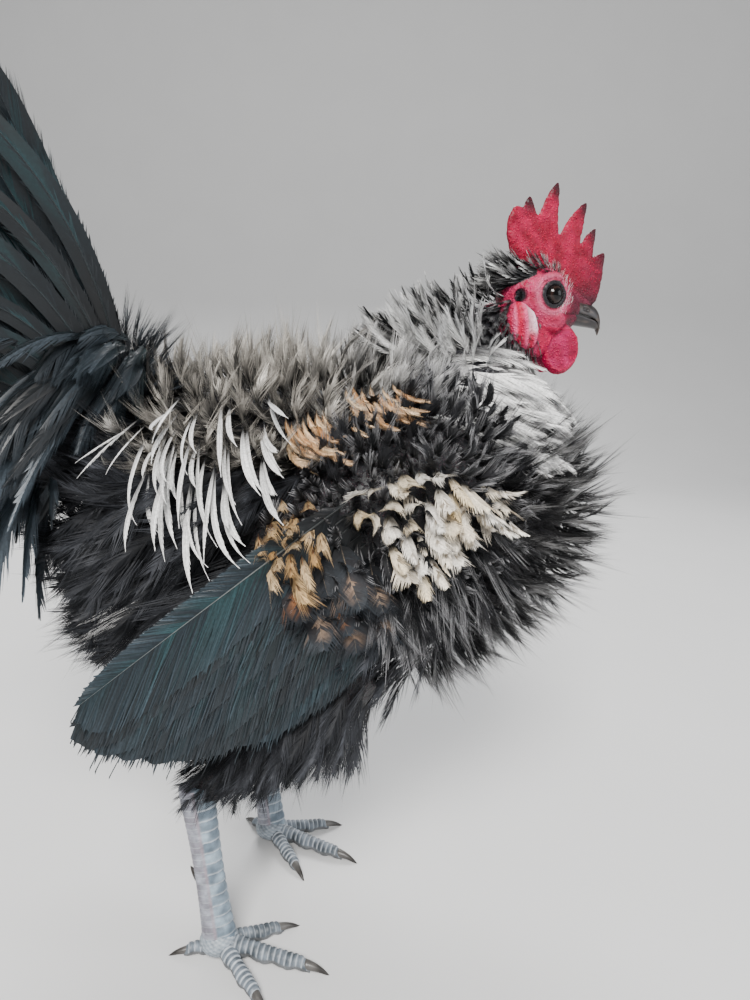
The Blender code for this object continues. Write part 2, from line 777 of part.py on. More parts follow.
def tail_vanes(bird):
    """Main tail feathers in two leaves, sickles over them, and drooping coverts round the root."""
    made = []
    for side in (RIGHT, LEFT):
        for k in range(6):
            rise = math.radians(67 - k * 8.5)
            root = Vector((-62 - 2 * k, side * (3 + 2.6 * k), 296 - 3.5 * k)) * MM
            heading = Vector((-math.cos(rise), side * 0.03 * k, math.sin(rise)))
            out = Vector((0, side, 0))
            made.append(fit(
                bird.tail_clear, bird.vary(150 - 5 * k, 0.04) * MM, root=root, along=heading, out=out,
                width=27 * MM, thick=1.7 * MM, lean=4, curl=6, sway=-side * (10 + 2 * k),
                widths=(0.35, 0.8, 1.0, 1.0, 0.75),
            ))
        for k in range(3):
            rise = math.radians(74 - 9 * k)
            root = Vector((-58 - 4 * k, side * (20 + 2.2 * k), 300 - 5 * k)) * MM
            made.append(fit(
                bird.tail_clear, (235 - 40 * k) * MM, root=root, along=Vector((-math.cos(rise), 0, math.sin(rise))),
                out=Vector((0, side, 0)), width=16 * MM, thick=2 * MM, lean=3, curl=3,
                sway=-side * (88 - 6 * k), widths=(0.4, 0.8, 1.0, 0.95, 0.7, 0.4),
            ))
        for k in range(17):
            turn = math.radians(-66 + k * 158 / 16)
            tier = k % 3
            size = Vector(TAIL_SIZE) * MM
            local = Vector((-0.25 + 0.3 * tier, side * abs(math.cos(turn)), math.sin(turn)))
            local.normalize()
            scaled = Vector((local.x * size.x, local.y * size.y, local.z * size.z))
            turned = Matrix.Rotation(math.radians(TAIL_SLOPE), 3, "Y")
            out = (turned @ Vector((local.x / size.x, local.y / size.y, local.z / size.z))).normalized()
            root = Vector(TAIL_CENTRE) * MM + turned @ scaled
            lie = Vector((-0.6, side * 0.25, -0.75))
            made.append(fit(
                bird.tail_clear, bird.vary(74, 0.15) * MM, root=root, along=lie, out=out,
                width=bird.vary(15, 0.15) * MM, thick=1.9 * MM, lean=bird.vary(50, 0.15),
                curl=-bird.vary(28, 0.5), sway=side * bird.random.uniform(-20, 25), widths=HACKLE_WIDTHS,
            ))
    return [m for m in made if m]


def thigh_vanes(bird, name):
    """Short loose feathers over a drumstick."""
    made = []
    loft = bird.thighs[name]
    clear = bird.thigh_clear(name)
    for row in range(4):
        at = 0.9 + row * 0.85
        count = (7, 6, 5, 4)[row]
        for k in range(count):
            turn = 2 * math.pi * (k + 0.5 * (row % 2)) / count
            root, along, out = lie_at(loft, at, turn, Vector((-0.3, 0, -1)))
            made.append(fit(
                clear, bird.vary(24 - 2 * row, 0.12) * MM, root=root, along=along, out=out,
                width=bird.vary(15 - 1.5 * row, 0.12) * MM, thick=1.6 * MM, lean=bird.vary(26, 0.2),
                curl=bird.vary(24, 0.3), widths=COVERT_WIDTHS,
            ))
    return [m for m in made if m]


def make_torso(bird, finishes):
    core = add("torso", *bird.torso.solid(17, 20))
    join(core, torso_vanes(bird))
    finish(core, "torso", finishes["body_feathers"])


def make_neck(bird, finishes):
    core = add("neck", *bird.neck.solid(12, 20))
    trunk = add("cutter", *bird.torso.solid(17, 20, GAP))
    above = half_space("cutter", HEAD_PLANE_POINT, HEAD_PLANE_NORMAL, -GAP / 2)
    cut(core, trunk, above)
    keep_largest(core)
    remove(trunk, above)
    join(core, neck_vanes(bird))
    finish(core, "neck", finishes["hackle"])


def make_wing(bird, finishes, name, side):
    core = bird.wing_core(side)
    trunk = add("cutter", *bird.torso.solid(17, 20, GAP))
    cut(core, trunk)
    keep_largest(core)
    remove(trunk)
    join(core, flight_vanes(bird, side) + covert_vanes(bird, side))
    finish(core, "wing_" + name, finishes["wing"])


def make_tail(bird, finishes):
    core = ellipsoid("tail", TAIL_CENTRE, TAIL_SIZE, TAIL_SLOPE, 14, 9)
    trunk = add("cutter", *bird.torso.solid(17, 20, GAP))
    cut(core, trunk)
    keep_largest(core)
    remove(trunk)
    join(core, tail_vanes(bird))
    finish(core, "tail", finishes["tail"])


def make_thigh(bird, finishes, name):
    loft = bird.thighs[name]
    core = add("thigh", *loft.solid(10, 14))
    trunk = add("cutter", *bird.torso.solid(17, 20, GAP))
    cut(core, trunk)
    keep_largest(core)
    remove(trunk)
    join(core, thigh_vanes(bird, name))
    finish(core, "thigh_" + name, finishes["thigh"])


def toe_points(ankle, heading, length, radius):
    """Rings of a toe along the floor, flat below."""
    verts = []
    sides, rings = 6, 4
    ahead = Vector((math.cos(heading), math.sin(heading), 0))
    across = Vector((-ahead.y, ahead.x, 0))
    for i in range(rings):
        share = i / (rings - 1)
        reach = radius * (1.12 - 0.3 * share) * (1.08 if i % 2 else 0.96)
        centre = Vector((ankle.x, ankle.y, 0)) + ahead * (length * share - 2 * MM)
        centre.z = reach * 0.86 + (1 - share) ** 2 * 2.5 * MM
        for j in range(sides):
            turn = 2 * math.pi * j / sides
            point = centre + across * reach * math.cos(turn) + Vector((0, 0, reach * math.sin(turn)))
            point.z = max(point.z, -1 * MM)
            verts.append(point)
    faces = [tuple(range(sides))[::-1], tuple((rings - 1) * sides + j for j in range(sides))]
    for i in range(rings - 1):
        for j in range(sides):
            k = (j + 1) % sides
            faces.append((i * sides + j, i * sides + k, (i + 1) * sides + k, (i + 1) * sides + j))
    return verts, faces


def shank_solid(name, grow=0.0):
    """The shank with raised plates down its front."""
    hock, ankle = (Vector(place) * MM for place in FEET[name][:2])
    axis = (ankle - hock).normalized()
    front = (Vector((1, 0, 0)) - axis * axis.x).normalized()
    across = axis.cross(front).normalized()
    rings, sides = SHANK_PLATES * 2 + 1, 8
    verts = []
    for i in range(rings):
        share = i / (rings - 1)
        centre = hock + (ankle - hock) * share
        waist = 1 - 0.24 * math.sin(math.pi * min(1, share * 1.08)) ** 0.8
        raised = 0.55 * MM if i % 2 else 0
        for j in range(sides):
            turn = 2 * math.pi * j / sides
            toward = math.cos(turn)
            reach = (8.4 + 1.2 * abs(toward)) * MM * waist + (raised if toward > 0.2 else 0.3 * raised) + grow
            verts.append(centre + front * reach * toward + across * reach * 0.86 * math.sin(turn))
    faces = [tuple(range(sides)), tuple((rings - 1) * sides + j for j in range(sides))[::-1]]
    for i in range(rings - 1):
        for j in range(sides):
            k = (j + 1) % sides
            faces.append((i * sides + j, (i + 1) * sides + j, (i + 1) * sides + k, i * sides + k))
    return verts, faces


def make_leg(bird, finishes, name, side):
    """Shank and toes as one body, and its claws and spur."""
    hock, ankle, heading = FEET[name]
    hock, ankle = Vector(hock) * MM, Vector(ankle) * MM
    front = Vector((1, 0, 0))
    core = add("leg", *shank_solid(name))
    pieces = [ellipsoid("pad", (ankle.x / MM, ankle.y / MM, 5.5), (11, 10, 8), 0, 10, 6)]
    for toe, (turn, length, radius) in TOES.items():
        toward = math.radians(heading + side * turn)
        verts, faces = toe_points(ankle, toward, length * MM, radius * MM)
        pieces.append(add("toe", verts, faces))
        ahead = Vector((math.cos(toward), math.sin(toward), 0))
        root = Vector((ankle.x, ankle.y, 0)) + ahead * (length * MM - 2 * MM + GAP)
        tip_radius = radius * 0.72 * MM
        root.z = tip_radius + 0.6 * MM
        claw = horn(
            "claw", root, ahead, Vector((0, 0, -1)), CLAW_LENGTH * (0.8 if toe == "hind" else 1), tip_radius,
            flat=0.2 * MM,
        )
        finish(claw, f"claw_{toe}_{name}", finishes["claw"])
    join(core, pieces)
    stop = half_space("cutter", Vector((0, 0, 0)), Vector((0, 0, -1)), 0)
    thigh = add("cutter", *bird.thighs[name].solid(10, 14, GAP))
    cut(core, stop, thigh)
    keep_largest(core)
    remove(stop, thigh)
    inner = Vector((0, -side, 0))
    place = hock + (ankle - hock) * 0.62
    backward = (inner * 0.75 - front * 0.65).normalized()
    spur_root = place + backward * 4 * MM
    spur = horn("spur", spur_root, backward, Vector((0, 0, 1)), SPUR_LENGTH, 3.4 * MM)
    shank = core.copy()
    shank.data = core.data.copy()
    bpy.context.scene.collection.objects.link(shank)
    cut(spur, shank)
    keep_largest(spur)
    for v in spur.data.vertices:
        v.co += backward * GAP
    remove(shank)
    finish(spur, "spur_" + name, finishes["claw"])
    finish(core, "leg_" + name, finishes["leg"])


def make_head(bird, finishes):
    core = add("head", *bird.head.solid(13, 16))
    below = half_space("cutter", HEAD_PLANE_POINT, -HEAD_PLANE_NORMAL, -GAP / 2)
    cut(core, below)
    remove(below)
    lids = []
    for name, side in SIDES:
        centre = head_place(EYE_AHEAD, side * EYE_OUT, EYE_ABOVE) + Vector((0, side * 3.4 * MM, 0))
        lids.append(ring("lid", centre, LID_RADIUS, LID_THICK, side * 0.14))
    join(core, lids + crown_vanes(bird))
    for name, side in SIDES:
        centre = head_place(EYE_AHEAD, side * EYE_OUT, EYE_ABOVE)
        socket = ellipsoid("cutter", centre / MM, (EYE_RADIUS / MM + 0.3,) * 3, 0, 10, 6)
        ear = ellipsoid(
            "cutter", head_place(EAR_AHEAD, side * 14.6 * MM, EAR_ABOVE) / MM, (2.6, 2.2, 3.4), 0, 6, 4
        )
        cut(core, socket, ear)
        remove(socket, ear)
        eye = ellipsoid("eye", centre / MM, (EYE_RADIUS / MM,) * 3, 0, 10, 6)
        finish(eye, "eye_" + name, finishes["eye"])
    keep_largest(core)
    return core


def make_beak(bird, finishes, head):
    for name, rows in (("beak_upper", UPPER_BEAK), ("beak_lower", LOWER_BEAK)):
        loft = Loft(beak_stations(rows), fullness=2.1)
        verts, faces = loft.solid(7, 10)
        half = add(name, verts, faces)
        if name == "beak_upper":
            for side in (RIGHT, LEFT):
                nostril = ellipsoid(
                    "cutter", head_place(33.5 * MM, side * 6 * MM, 3.4 * MM) / MM, (2.4, 1.4, 0.9), 8, 6, 4
                )
                cut(half, nostril)
                remove(nostril)
        else:
            upper = add("cutter", *Loft(beak_stations(UPPER_BEAK), fullness=2.1).solid(7, 10, GAP))
            cut(half, upper)
            remove(upper)
        keep_largest(half)
        finish(half, name, finishes["beak"])


def carve(piece, others, name, finish_material):
    """Cuts a soft lobe back from the head, the beak and what else it rests on."""
    cut(piece, *others)
    keep_largest(piece)
    return finish(piece, name, finish_material)


def make_face_lobes(bird, finishes):
    """Comb, wattles and ear lobes, cut clear of the head by the gap."""
    head = add("cutter", *bird.head.solid(13, 16, GAP))
    lower = add("cutter", *Loft(beak_stations(LOWER_BEAK), fullness=2.1).solid(7, 10, GAP))
    upper = add("cutter", *Loft(beak_stations(UPPER_BEAK), fullness=2.1).solid(7, 10, GAP))
    comb = plate("comb", comb_outline(), COMB_THICK, 1.3 * MM)
    carve(comb, (head, upper), "comb", finishes["comb"])
    neck = add("cutter", *bird.neck.solid(12, 20, GAP))
    for name, side in SIDES:
        wattle = ellipsoid("wattle", mirrored(WATTLE_CENTRE, side), WATTLE_SIZE, 12, 10, 7)
        carve(wattle, (head, lower, upper, neck), "wattle_" + name, finishes["comb"])
        lobe = ellipsoid("lobe", mirrored(LOBE_CENTRE, side), LOBE_SIZE, 12, 9, 6)
        carve(lobe, (head, neck), "earlobe_" + name, finishes["lobe"])
    remove(head, lower, upper, neck)


def centre_on_floor():
    """Hangs every part on one empty, placed so that the box of the whole stands centred on the origin."""
    parts = [o for o in bpy.context.scene.objects if o.type == "MESH"]
    points = np.array([v.co for o in parts for v in o.data.vertices])
    low, high = points.min(axis=0), points.max(axis=0)
    holder = bpy.data.objects.new("rooster", None)
    bpy.context.scene.collection.objects.link(holder)
    holder.location = (-(low[0] + high[0]) / 2, -(low[1] + high[1]) / 2, -low[2])
    for part in parts:
        part.parent = holder


def main():
    for old in list(bpy.data.objects):
        bpy.data.objects.remove(old)
    finishes = {
        "body_feathers": material("body_feathers", (0.055, 0.055, 0.06), 0.75),
        "hackle": material("hackle", (0.42, 0.42, 0.41), 0.7),
        "wing": material("wing", (0.05, 0.06, 0.065), 0.55),
        "tail": material("tail", (0.025, 0.035, 0.04), 0.45),
        "thigh": material("thigh", (0.05, 0.055, 0.065), 0.8),
        "skin": material("skin", (0.52, 0.05, 0.09), 0.55),
        "comb": material("comb", (0.55, 0.03, 0.06), 0.5),
        "lobe": material("lobe", (0.75, 0.42, 0.48), 0.5),
        "beak": material("beak", (0.05, 0.045, 0.045), 0.4),
        "eye": material("eye", (0.03, 0.015, 0.01), 0.05),
        "leg": material("leg", (0.42, 0.47, 0.52), 0.5),
        "claw": material("claw", (0.3, 0.29, 0.28), 0.4),
    }
    bird = Bird()
    make_torso(bird, finishes)
    make_neck(bird, finishes)
    make_tail(bird, finishes)
    for name, side in SIDES:
        make_wing(bird, finishes, name, side)
        make_thigh(bird, finishes, name)
        make_leg(bird, finishes, name, side)
    head = make_head(bird, finishes)
    finish(head, "head", finishes["skin"])
    make_beak(bird, finishes, head)
    make_face_lobes(bird, finishes)
    centre_on_floor()


main()
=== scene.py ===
"""The look of a standing frizzle rooster: skin, head, legs and several thousand feathers, as meshes."""

import math
from itertools import product
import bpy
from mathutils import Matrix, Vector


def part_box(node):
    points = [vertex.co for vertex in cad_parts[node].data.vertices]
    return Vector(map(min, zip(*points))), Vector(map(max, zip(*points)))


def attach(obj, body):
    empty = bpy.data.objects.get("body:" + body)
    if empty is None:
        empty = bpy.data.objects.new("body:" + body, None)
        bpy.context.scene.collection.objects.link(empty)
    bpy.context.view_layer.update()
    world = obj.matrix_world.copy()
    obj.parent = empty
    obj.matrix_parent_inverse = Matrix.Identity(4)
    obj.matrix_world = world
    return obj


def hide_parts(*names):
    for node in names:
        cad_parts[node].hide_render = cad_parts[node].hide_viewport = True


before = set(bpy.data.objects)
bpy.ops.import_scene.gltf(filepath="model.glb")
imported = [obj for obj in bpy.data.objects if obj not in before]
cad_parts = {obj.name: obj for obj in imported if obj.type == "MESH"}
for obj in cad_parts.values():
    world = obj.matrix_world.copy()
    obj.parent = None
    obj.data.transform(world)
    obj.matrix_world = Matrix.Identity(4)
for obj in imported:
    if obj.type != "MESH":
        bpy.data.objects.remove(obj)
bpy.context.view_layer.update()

from types import SimpleNamespace

import bmesh
import bpy
import numpy as np
from mathutils import Matrix, Vector, noise
from mathutils.geometry import delaunay_2d_cdt

MM = 0.001
RIGHT, LEFT = -1.0, 1.0
SIDES = (("right", RIGHT), ("left", LEFT))

# The camera of the photograph, in the bird's own directions, with its right foot at x = 0.
CAMERA_PLACE = (-0.0512, -0.3944, 0.3229)
CAMERA_AZIMUTH, CAMERA_PITCH, CAMERA_ROLL = -18, 12, 5
CAMERA_LENS = 27.07

# The solids' stations: x, z, tilt, half width, above, below, in millimetres and degrees.
TORSO = (
    (-68, 232, 0, 9, 10, 12),
    (-61, 230, 0, 26, 33, 34),
    (-42, 227, 0, 46, 61, 63),
    (-8, 222, 0, 64, 77, 82),
    (32, 218, 0, 73, 83, 84),
    (75, 216, 0, 74, 87, 79),
    (118, 221, 0, 68, 79, 69),
    (156, 229, 0, 54, 60, 56),
    (182, 236, 0, 33, 36, 37),
    (193, 239, 0, 11, 12, 13),
)
NECK = (
    (110, 250, 76, 54, 58, 58),
    (119, 284, 71, 46, 53, 50),
    (129, 308, 66, 37, 41, 37),
    (140, 328, 59, 21, 26, 24),
    (151, 343, 50, 14.5, 15, 17),
    (157, 350, 46, 12, 12, 13),
)
HEAD_CENTRE = (159, 0, 352)
HEAD_TILT = -10
HEAD = (
    (-20, 3, 4, 4),
    (-17.5, 9.5, 11.5, 10),
    (-11, 14.5, 17, 16),
    (-2, 17, 20.5, 19),
    (8, 16.5, 19.5, 18.5),
    (17, 12.8, 14.5, 14.5),
    (24, 8.8, 10, 10.5),
    (28, 7.3, 8, 8.5),
)
UPPER_BEAK = (
    (24, 1.2, 6.6, 7.4, 0),
    (28.3, 0.4, 6.8, 7.2, 0),
    (34, 0.6, 6.0, 7.4, 0),
    (41, 0, 4.8, 6.4, 0),
    (44.8, -2.0, 3.3, 5.0, 1.4),
    (47, -4.6, 1.5, 3.0, 2.4),
    (47.5, -6.6, 0.4, 0.7, 1.0),
)
LOWER_BEAK = (
    (24, -0.5, 6.2, 0, 6.0),
    (28.3, -0.5, 6.3, 0, 6.0),
    (35, -0.5, 5.3, 0, 5.2),
    (42, -0.8, 3.9, 0, 4.0),
    (47, -3.2, 1.8, 0, 1.4),
)
EYE = (4.6, 12.4, 4.2)
EYE_RADIUS = 6.2
EAR = (-13, 14.2, -1.2)
LOBE = (-9.7, -17)
LOBE_SIZE = (8.6, 13.6)

COMB_LOBE = ((146, 372), (140, 382), (138.5, 392), (142, 400), (147, 400.5))
COMB_TIPS = ((151, 406.5), (167, 415.5), (186, 407.5), (194, 394.5), (202, 381.5))
COMB_NOTCHES = ((156.5, 397.5), (170.5, 389.5), (185, 386), (194, 380))
COMB_FRONT = ((201.5, 366), (198.5, 353))
COMB_ROOT = ((184, 350), (164, 360))
COMB_LEAN = 0.42

THIGHS = {
    "right": (-49, ((52, 172, -142, 30, 30, 30), (34, 144, -140, 27, 30, 28), (12, 118, -138, 19, 21, 20),
                    (-8, 100, -130, 12, 13, 13), (-17, 91, -110, 9, 9.5, 9.5))),
    "left": (44, ((70, 172, -130, 30, 30, 30), (58, 144, -128, 27, 30, 28), (42, 118, -125, 19, 21, 20),
                  (30, 100, -118, 12, 13, 13), (25, 91, -100, 9, 9.5, 9.5))),
}
FEET = {
    "right": ((-18.5, -50, 88), (-5, -53, 9), -27),
    "left": ((24, 43, 88), (37, 34, 9), -36),
}
TOES = {"inner": (-38, 38, 4.3), "middle": (0, 52, 4.7), "outer": (40, 41, 4.3), "hind": (158, 20, 3.8)}

WING_CENTRE = (62, 70, 246)
WING_SIZE = (64, 29, 37)
WING_SLOPE = 31
FLIGHT_ROOT_TOP, FLIGHT_ROOT_LOW = (34, 254), (78, 212)
FLIGHT_TIPS = ((-79, 165), (-79, 154), (-62, 142), (-38, 142), (-14, 148), (8, 159), (32, 178))
CREAM_ZONE = ((18, 27), (0, 23), (-21, 17), (-31, 7), (-51, -12), (-51, -22), (-44, -26), (-31, -24),
              (-15, -17), (1, -21), (10, -13), (13, 3), (17, 13), (20, 21))
GOLD_ZONE = ((58, 27), (44, 33), (31, 29), (36, 14), (50, 8), (62, 16))
REAR_ZONE = ((55, 12), (41, 14), (25, 8), (15, -6), (25, -26), (40, -20), (51, -6))
BOW_ZONE = ((-32, 44), (-53, 38), (-67, 25), (-74, 8), (-75, -12), (-64, -26), (-53, -14), (-31, 7),
            (-21, 17), (0, 23), (18, 27), (28, 29), (19, 37), (0, 42), (-24, 35))
UNDER_ZONE = ((-44, -18), (22, -10), (26, -30), (4, -44), (-30, -46))
RUST_REAR = ((22, 60), (2, 54), (8, 43), (28, 47))
RUST_FRONT = ((-8, 60), (-32, 50), (-27, 40), (-2, 48))
WING_ZONE = ((36, 28), (14, 44), (-7, 50), (-36, 48), (-60, 37), (-75, 20), (-79, -6), (-66, -34),
             (-35, -45), (3, -37), (48, -19), (62, 11), (51, 29))
TAIL_CENTRE = (-64, 0, 283)
TAIL_SIZE = (35, 22, 29)
TAIL_SLOPE = 52

BLACK = (0.004, 0.0045, 0.0055)
BLUE_BLACK = (0.006, 0.011, 0.015)
CHARCOAL = (0.018, 0.018, 0.021)
SLATE = (0.085, 0.11, 0.135)
SMOKE = (0.13, 0.125, 0.12)
SILVER = (0.50, 0.50, 0.50)
WHITE = (0.93, 0.93, 0.92)
WARM = (0.50, 0.45, 0.38)
CREAM = (0.84, 0.73, 0.56)
RUST = (0.38, 0.15, 0.05)
# Teal streaks in the black flight and tail feathers are painted sheen.
TEAL_SHEEN = (0.009, 0.034, 0.038)
INK = (0.012, 0.012, 0.015)
LACE = (0.5, 0.5, 0.52)
TAN, BROWN, UMBER, STRAW = (0.26, 0.20, 0.13), (0.06, 0.035, 0.02), (0.2, 0.16, 0.11), (0.80, 0.60, 0.28)
GOLDS = ((0.46, 0.27, 0.10), (0.74, 0.58, 0.36))
RUSTS = ((0.42, 0.21, 0.08), (0.72, 0.52, 0.32))
BACK_DARKS = ((0.010, 0.010, 0.010), (0.075, 0.07, 0.064))
BACK_TIPS = ((0.20, 0.185, 0.165), (0.74, 0.70, 0.63))
FLUFF_DARK, FLUFF_TIP, COVERT_DARK = (0.022, 0.023, 0.027), (0.045, 0.048, 0.056), (0.024, 0.032, 0.040)
QUILL_GREY, TAIL_STEM, BRISTLE_ROOT = (0.11, 0.12, 0.12), (0.02, 0.022, 0.025), (0.5, 0.2, 0.22)
# The skin under the feathers is painted near black, as painted shade in the gaps of the coat.
SKIN_IN_SHADE = (0.016, 0.016, 0.018)
FACE_RED = ((0.30, 0.008, 0.045), (0.42, 0.034, 0.10))
COMB_RED = ((0.20, 0.001, 0.018), (0.30, 0.003, 0.036))
LOBE_RED = ((0.42, 0.003, 0.040), (0.66, 0.10, 0.22))
WATTLE_RED = ((0.24, 0.002, 0.034), (0.35, 0.012, 0.075))
COMB_TIP, COMB_SHADE, WATTLE_RIM = (0.020, 0.004, 0.007), (0.06, 0.002, 0.010), (0.36, 0.003, 0.045)
# The ear's dark colour is painted shade in the sunken ear opening.
EYE_RING, LID_GREY, EAR_HOLE_SHADE = (0.60, 0.18, 0.28), (0.014, 0.013, 0.016), (0.02, 0.02, 0.024)
# The dark red round the beak's root is painted shade.
LOBE_WHITE, BEAK_ROOT_SHADE = (0.88, 0.66, 0.76), (0.03, 0.008, 0.014)
PUPIL, IRIS, IRIS_RIM = (0.001, 0.001, 0.001), (0.016, 0.008, 0.006), (0.004, 0.003, 0.003)
BEAK_DARK, BEAK_TIP, BEAK_STREAK = (0.016, 0.013, 0.014), (0.12, 0.10, 0.085), (0.10, 0.075, 0.06)
SHANK_BLUE = ((0.11, 0.15, 0.19), (0.25, 0.32, 0.38))
# The pale outline colour of the shank's plates is partly their own and partly painted highlight.
SHANK_PINK, SHANK_OUTLINE_AND_HIGHLIGHT = (0.34, 0.24, 0.26), (0.62, 0.67, 0.72)
TOE_BLUE = ((0.07, 0.085, 0.10), (0.17, 0.20, 0.235))
# Toe colours: a painted highlight for the plates' edges and painted shade for the underside.
TOE_EDGE_HIGHLIGHT, TOE_UNDER_SHADE = (0.50, 0.54, 0.58), (0.12, 0.12, 0.12)
PAD_BLUE = ((0.20, 0.24, 0.28), (0.38, 0.42, 0.46))
HORN_GREY, HORN_TIP = (0.10, 0.095, 0.09), (0.025, 0.022, 0.02)

# The bare head, in millimetres. A cheek is its size and then its place ahead, outwards and above in the
# head's own directions. The wattle's place is in the bird's.
CHEEKS = (((9.5, 4.6, 6.5), (9, 11.4, -9)), ((6.5, 3.6, 3.8), (2, 13.4, 12)), ((10, 5.0, 11), (3, 9.5, -20)))
LOBE_OUT, LOBE_THICK, LOBE_TURN = 17.4, 4.8, 19
LOBE_FOLDS, LOBE_SPAN = 4.4, 1.6
WATTLE, WATTLE_SIZE = (176, 8.4, 326.5), (11.4, 3.9, 14.2)
LID_REACH, LID_THICK, LID_STRETCH, LID_OUT = 6.1, 1.25, 1.04, 15.2
EYE_WRINKLES = ((9.6, 0.45), (11.2, 0.4), (12.9, 0.3))
EAR_SIZE = (3.2, 4.2)
HORN_RINGS = 16
PAD_SIZE, PAD_ABOVE = (10.2, 9.4, 7.2), 7.5

# The white patch on the flank: x, z and radius.
WHITE_PATCH = (-36, 200, 8)
LIGHT_AIM = (0.04, 0, 0.25)

COAT_DEPTH = 7
TUFT_PATCH = 0.003

# Where the colours of a feather pass into one another, as shares of its length.
ROOT_FADE, STEM_FADE, EDGE_FADE, TIP_FADE = (0.12, 0.42), (0.05, 0.3), (0.1, 0.35), (0.62, 0.95)
SPOT_AT, SPOT_SIZE, SPOT_FADE = 0.68, (0.2, 0.6), (0.6, 1.1)

# Each tuft of barbs draws its tone from a lot of its own, and the strips of the web from lots after them.
LOTS = 256
STRAND_GAP = 9
VANE_LOT = 200
# The web under the barbs is darkened to this share of their colour, as painted shade, so that the barbs stand
# out.
WEB_SHADE = 0.8

# A barb opens by so much more as far as its knee.
KNEE_OPEN = 1.2


def unit(v):
    return v / np.maximum(np.linalg.norm(v, axis=-1, keepdims=True), 1e-12)


def dot(a, b):
    return np.sum(a * b, axis=-1, keepdims=True)


def ramp(x, low, high):
    t = np.clip((np.asarray(x, float) - low) / (high - low), 0, 1)
    return t * t * (3 - 2 * t)


def bell(x, middle, width):
    return np.exp(-(((x - middle) / width) ** 2))


def mix(a, b, share):
    share = np.asarray(share, float)[..., None]
    return np.asarray(a) * (1 - share) + np.asarray(b) * share


def wobble(points, scale, seed=0.0):
    """Smooth noise from about -1 to 1 at each point."""
    return np.array([noise.noise(Vector(p) / scale + Vector((seed, seed, seed))) for p in points]) * 1.6


def spline(a, b, c, d, f):
    """Points from b to c at shares f of a smooth curve that also passes through a and d."""
    return 0.5 * (2 * b + (c - a) * f + (2 * a - 5 * b + 4 * c - d) * f**2 + (3 * b - a - 3 * c + d) * f**3)


def circle(sides):
    return np.arange(sides) * 2 * np.pi / sides


def ring_grid(low, high, rings, sides):
    """Places along a tube and angles round it, as two arrays of rings by sides."""
    return np.meshgrid(np.linspace(low, high, rings), circle(sides), indexing="ij")


def ball_grid(rings, sides, pole=0.02):
    """Angles from the pole and round it, and the directions that they give."""
    polar, around = ring_grid(pole, np.pi - pole, rings, sides)
    ball = np.stack([np.sin(polar) * np.cos(around), np.sin(polar) * np.sin(around), np.cos(polar)], -1)
    return polar, around, ball


def quads(rings, sides, wrap=False):
    """Faces between neighbouring rings. With wrap the last ring joins the first."""
    i, j = np.meshgrid(np.arange(rings - (not wrap)), np.arange(sides), indexing="ij")
    n, k = (i + 1) % rings, (j + 1) % sides
    return np.stack([i * sides + j, i * sides + k, n * sides + k, n * sides + j], -1).reshape(-1, 4)


def tube_faces(rings):
    """Vertices and faces of a closed tube whose rings are an array of points."""
    count, sides = rings.shape[:2]
    caps = [tuple(range(sides))[::-1], tuple((count - 1) * sides + j for j in range(sides))]
    return rings.reshape(-1, 3), [tuple(f) for f in quads(count, sides).tolist()] + caps


class Loft:
    """A body of rings along a line in the plane y = lateral. A turn of 0 is its top, pi / 2 its right."""

    def __init__(self, stations, lateral=0.0, fullness=2.25):
        self.rows = np.array(stations, float)
        self.last = len(stations) - 1
        self.lateral, self.fullness = lateral * MM, fullness

    def row(self, at):
        i = np.clip(np.asarray(at, float).astype(int), 0, self.last - 1)
        near = (self.rows[np.clip(i + k, 0, self.last)] for k in (-1, 0, 1, 2))
        return spline(*near, (at - i)[..., None])

    def point(self, at, turn, grow=0.0):
        x, z, tilt, half, up, down = np.moveaxis(self.row(np.asarray(at, float)), -1, 0)
        tilt = np.radians(tilt)
        power = 2 / self.fullness
        c, s = np.cos(turn), np.sin(turn)
        rise = np.sign(c) * np.abs(c) ** power * (np.where(c > 0, up, down) * MM + grow)
        side = np.sign(s) * np.abs(s) ** power * (half * MM + grow)
        return np.stack([x * MM - np.sin(tilt) * rise, self.lateral - side, z * MM + np.cos(tilt) * rise], -1)

    def normal(self, at, turn, step=0.02):
        at = np.asarray(at, float)
        lower, upper = np.maximum(at - step, 0), np.minimum(at + step, self.last)
        along = self.point(upper, turn) - self.point(lower, turn)
        around = self.point(at, turn + step) - self.point(at, turn - step)
        normal = unit(np.cross(along, around))
        rows = self.row(at)
        centre = np.stack([rows[..., 0] * MM, np.full(at.shape, self.lateral), rows[..., 1] * MM], -1)
        return np.where(dot(normal, self.point(at, turn) - centre) < 0, -normal, normal)

    def grid(self, rings, sides, grow=0.0):
        """Vertices and faces of the closed body."""
        return tube_faces(self.point(*ring_grid(0, self.last, rings, sides), grow))


def head_place(ahead, out, above):
    """Points given in the head's own directions, in millimetres from its centre."""
    tilt = math.radians(HEAD_TILT)
    x = HEAD_CENTRE[0] + np.cos(tilt) * ahead - np.sin(tilt) * above
    z = HEAD_CENTRE[2] + np.sin(tilt) * ahead + np.cos(tilt) * above
    return np.stack(np.broadcast_arrays(x, out, z), -1) * MM


def head_own(points):
    """The head's own directions, in millimetres, of points."""
    tilt = math.radians(HEAD_TILT)
    x, z = points[..., 0] / MM - HEAD_CENTRE[0], points[..., 2] / MM - HEAD_CENTRE[2]
    return np.cos(tilt) * x + np.sin(tilt) * z, points[..., 1] / MM, -np.sin(tilt) * x + np.cos(tilt) * z


def head_loft(rows, fullness):
    """A loft whose rows are ahead, above, half width, height and depth in the head's own directions."""
    made = []
    for ahead, above, *size in rows:
        x, _, z = head_place(ahead, 0, above) / MM
        made.append((x, z, HEAD_TILT, *size))
    return Loft(made, fullness=fullness)


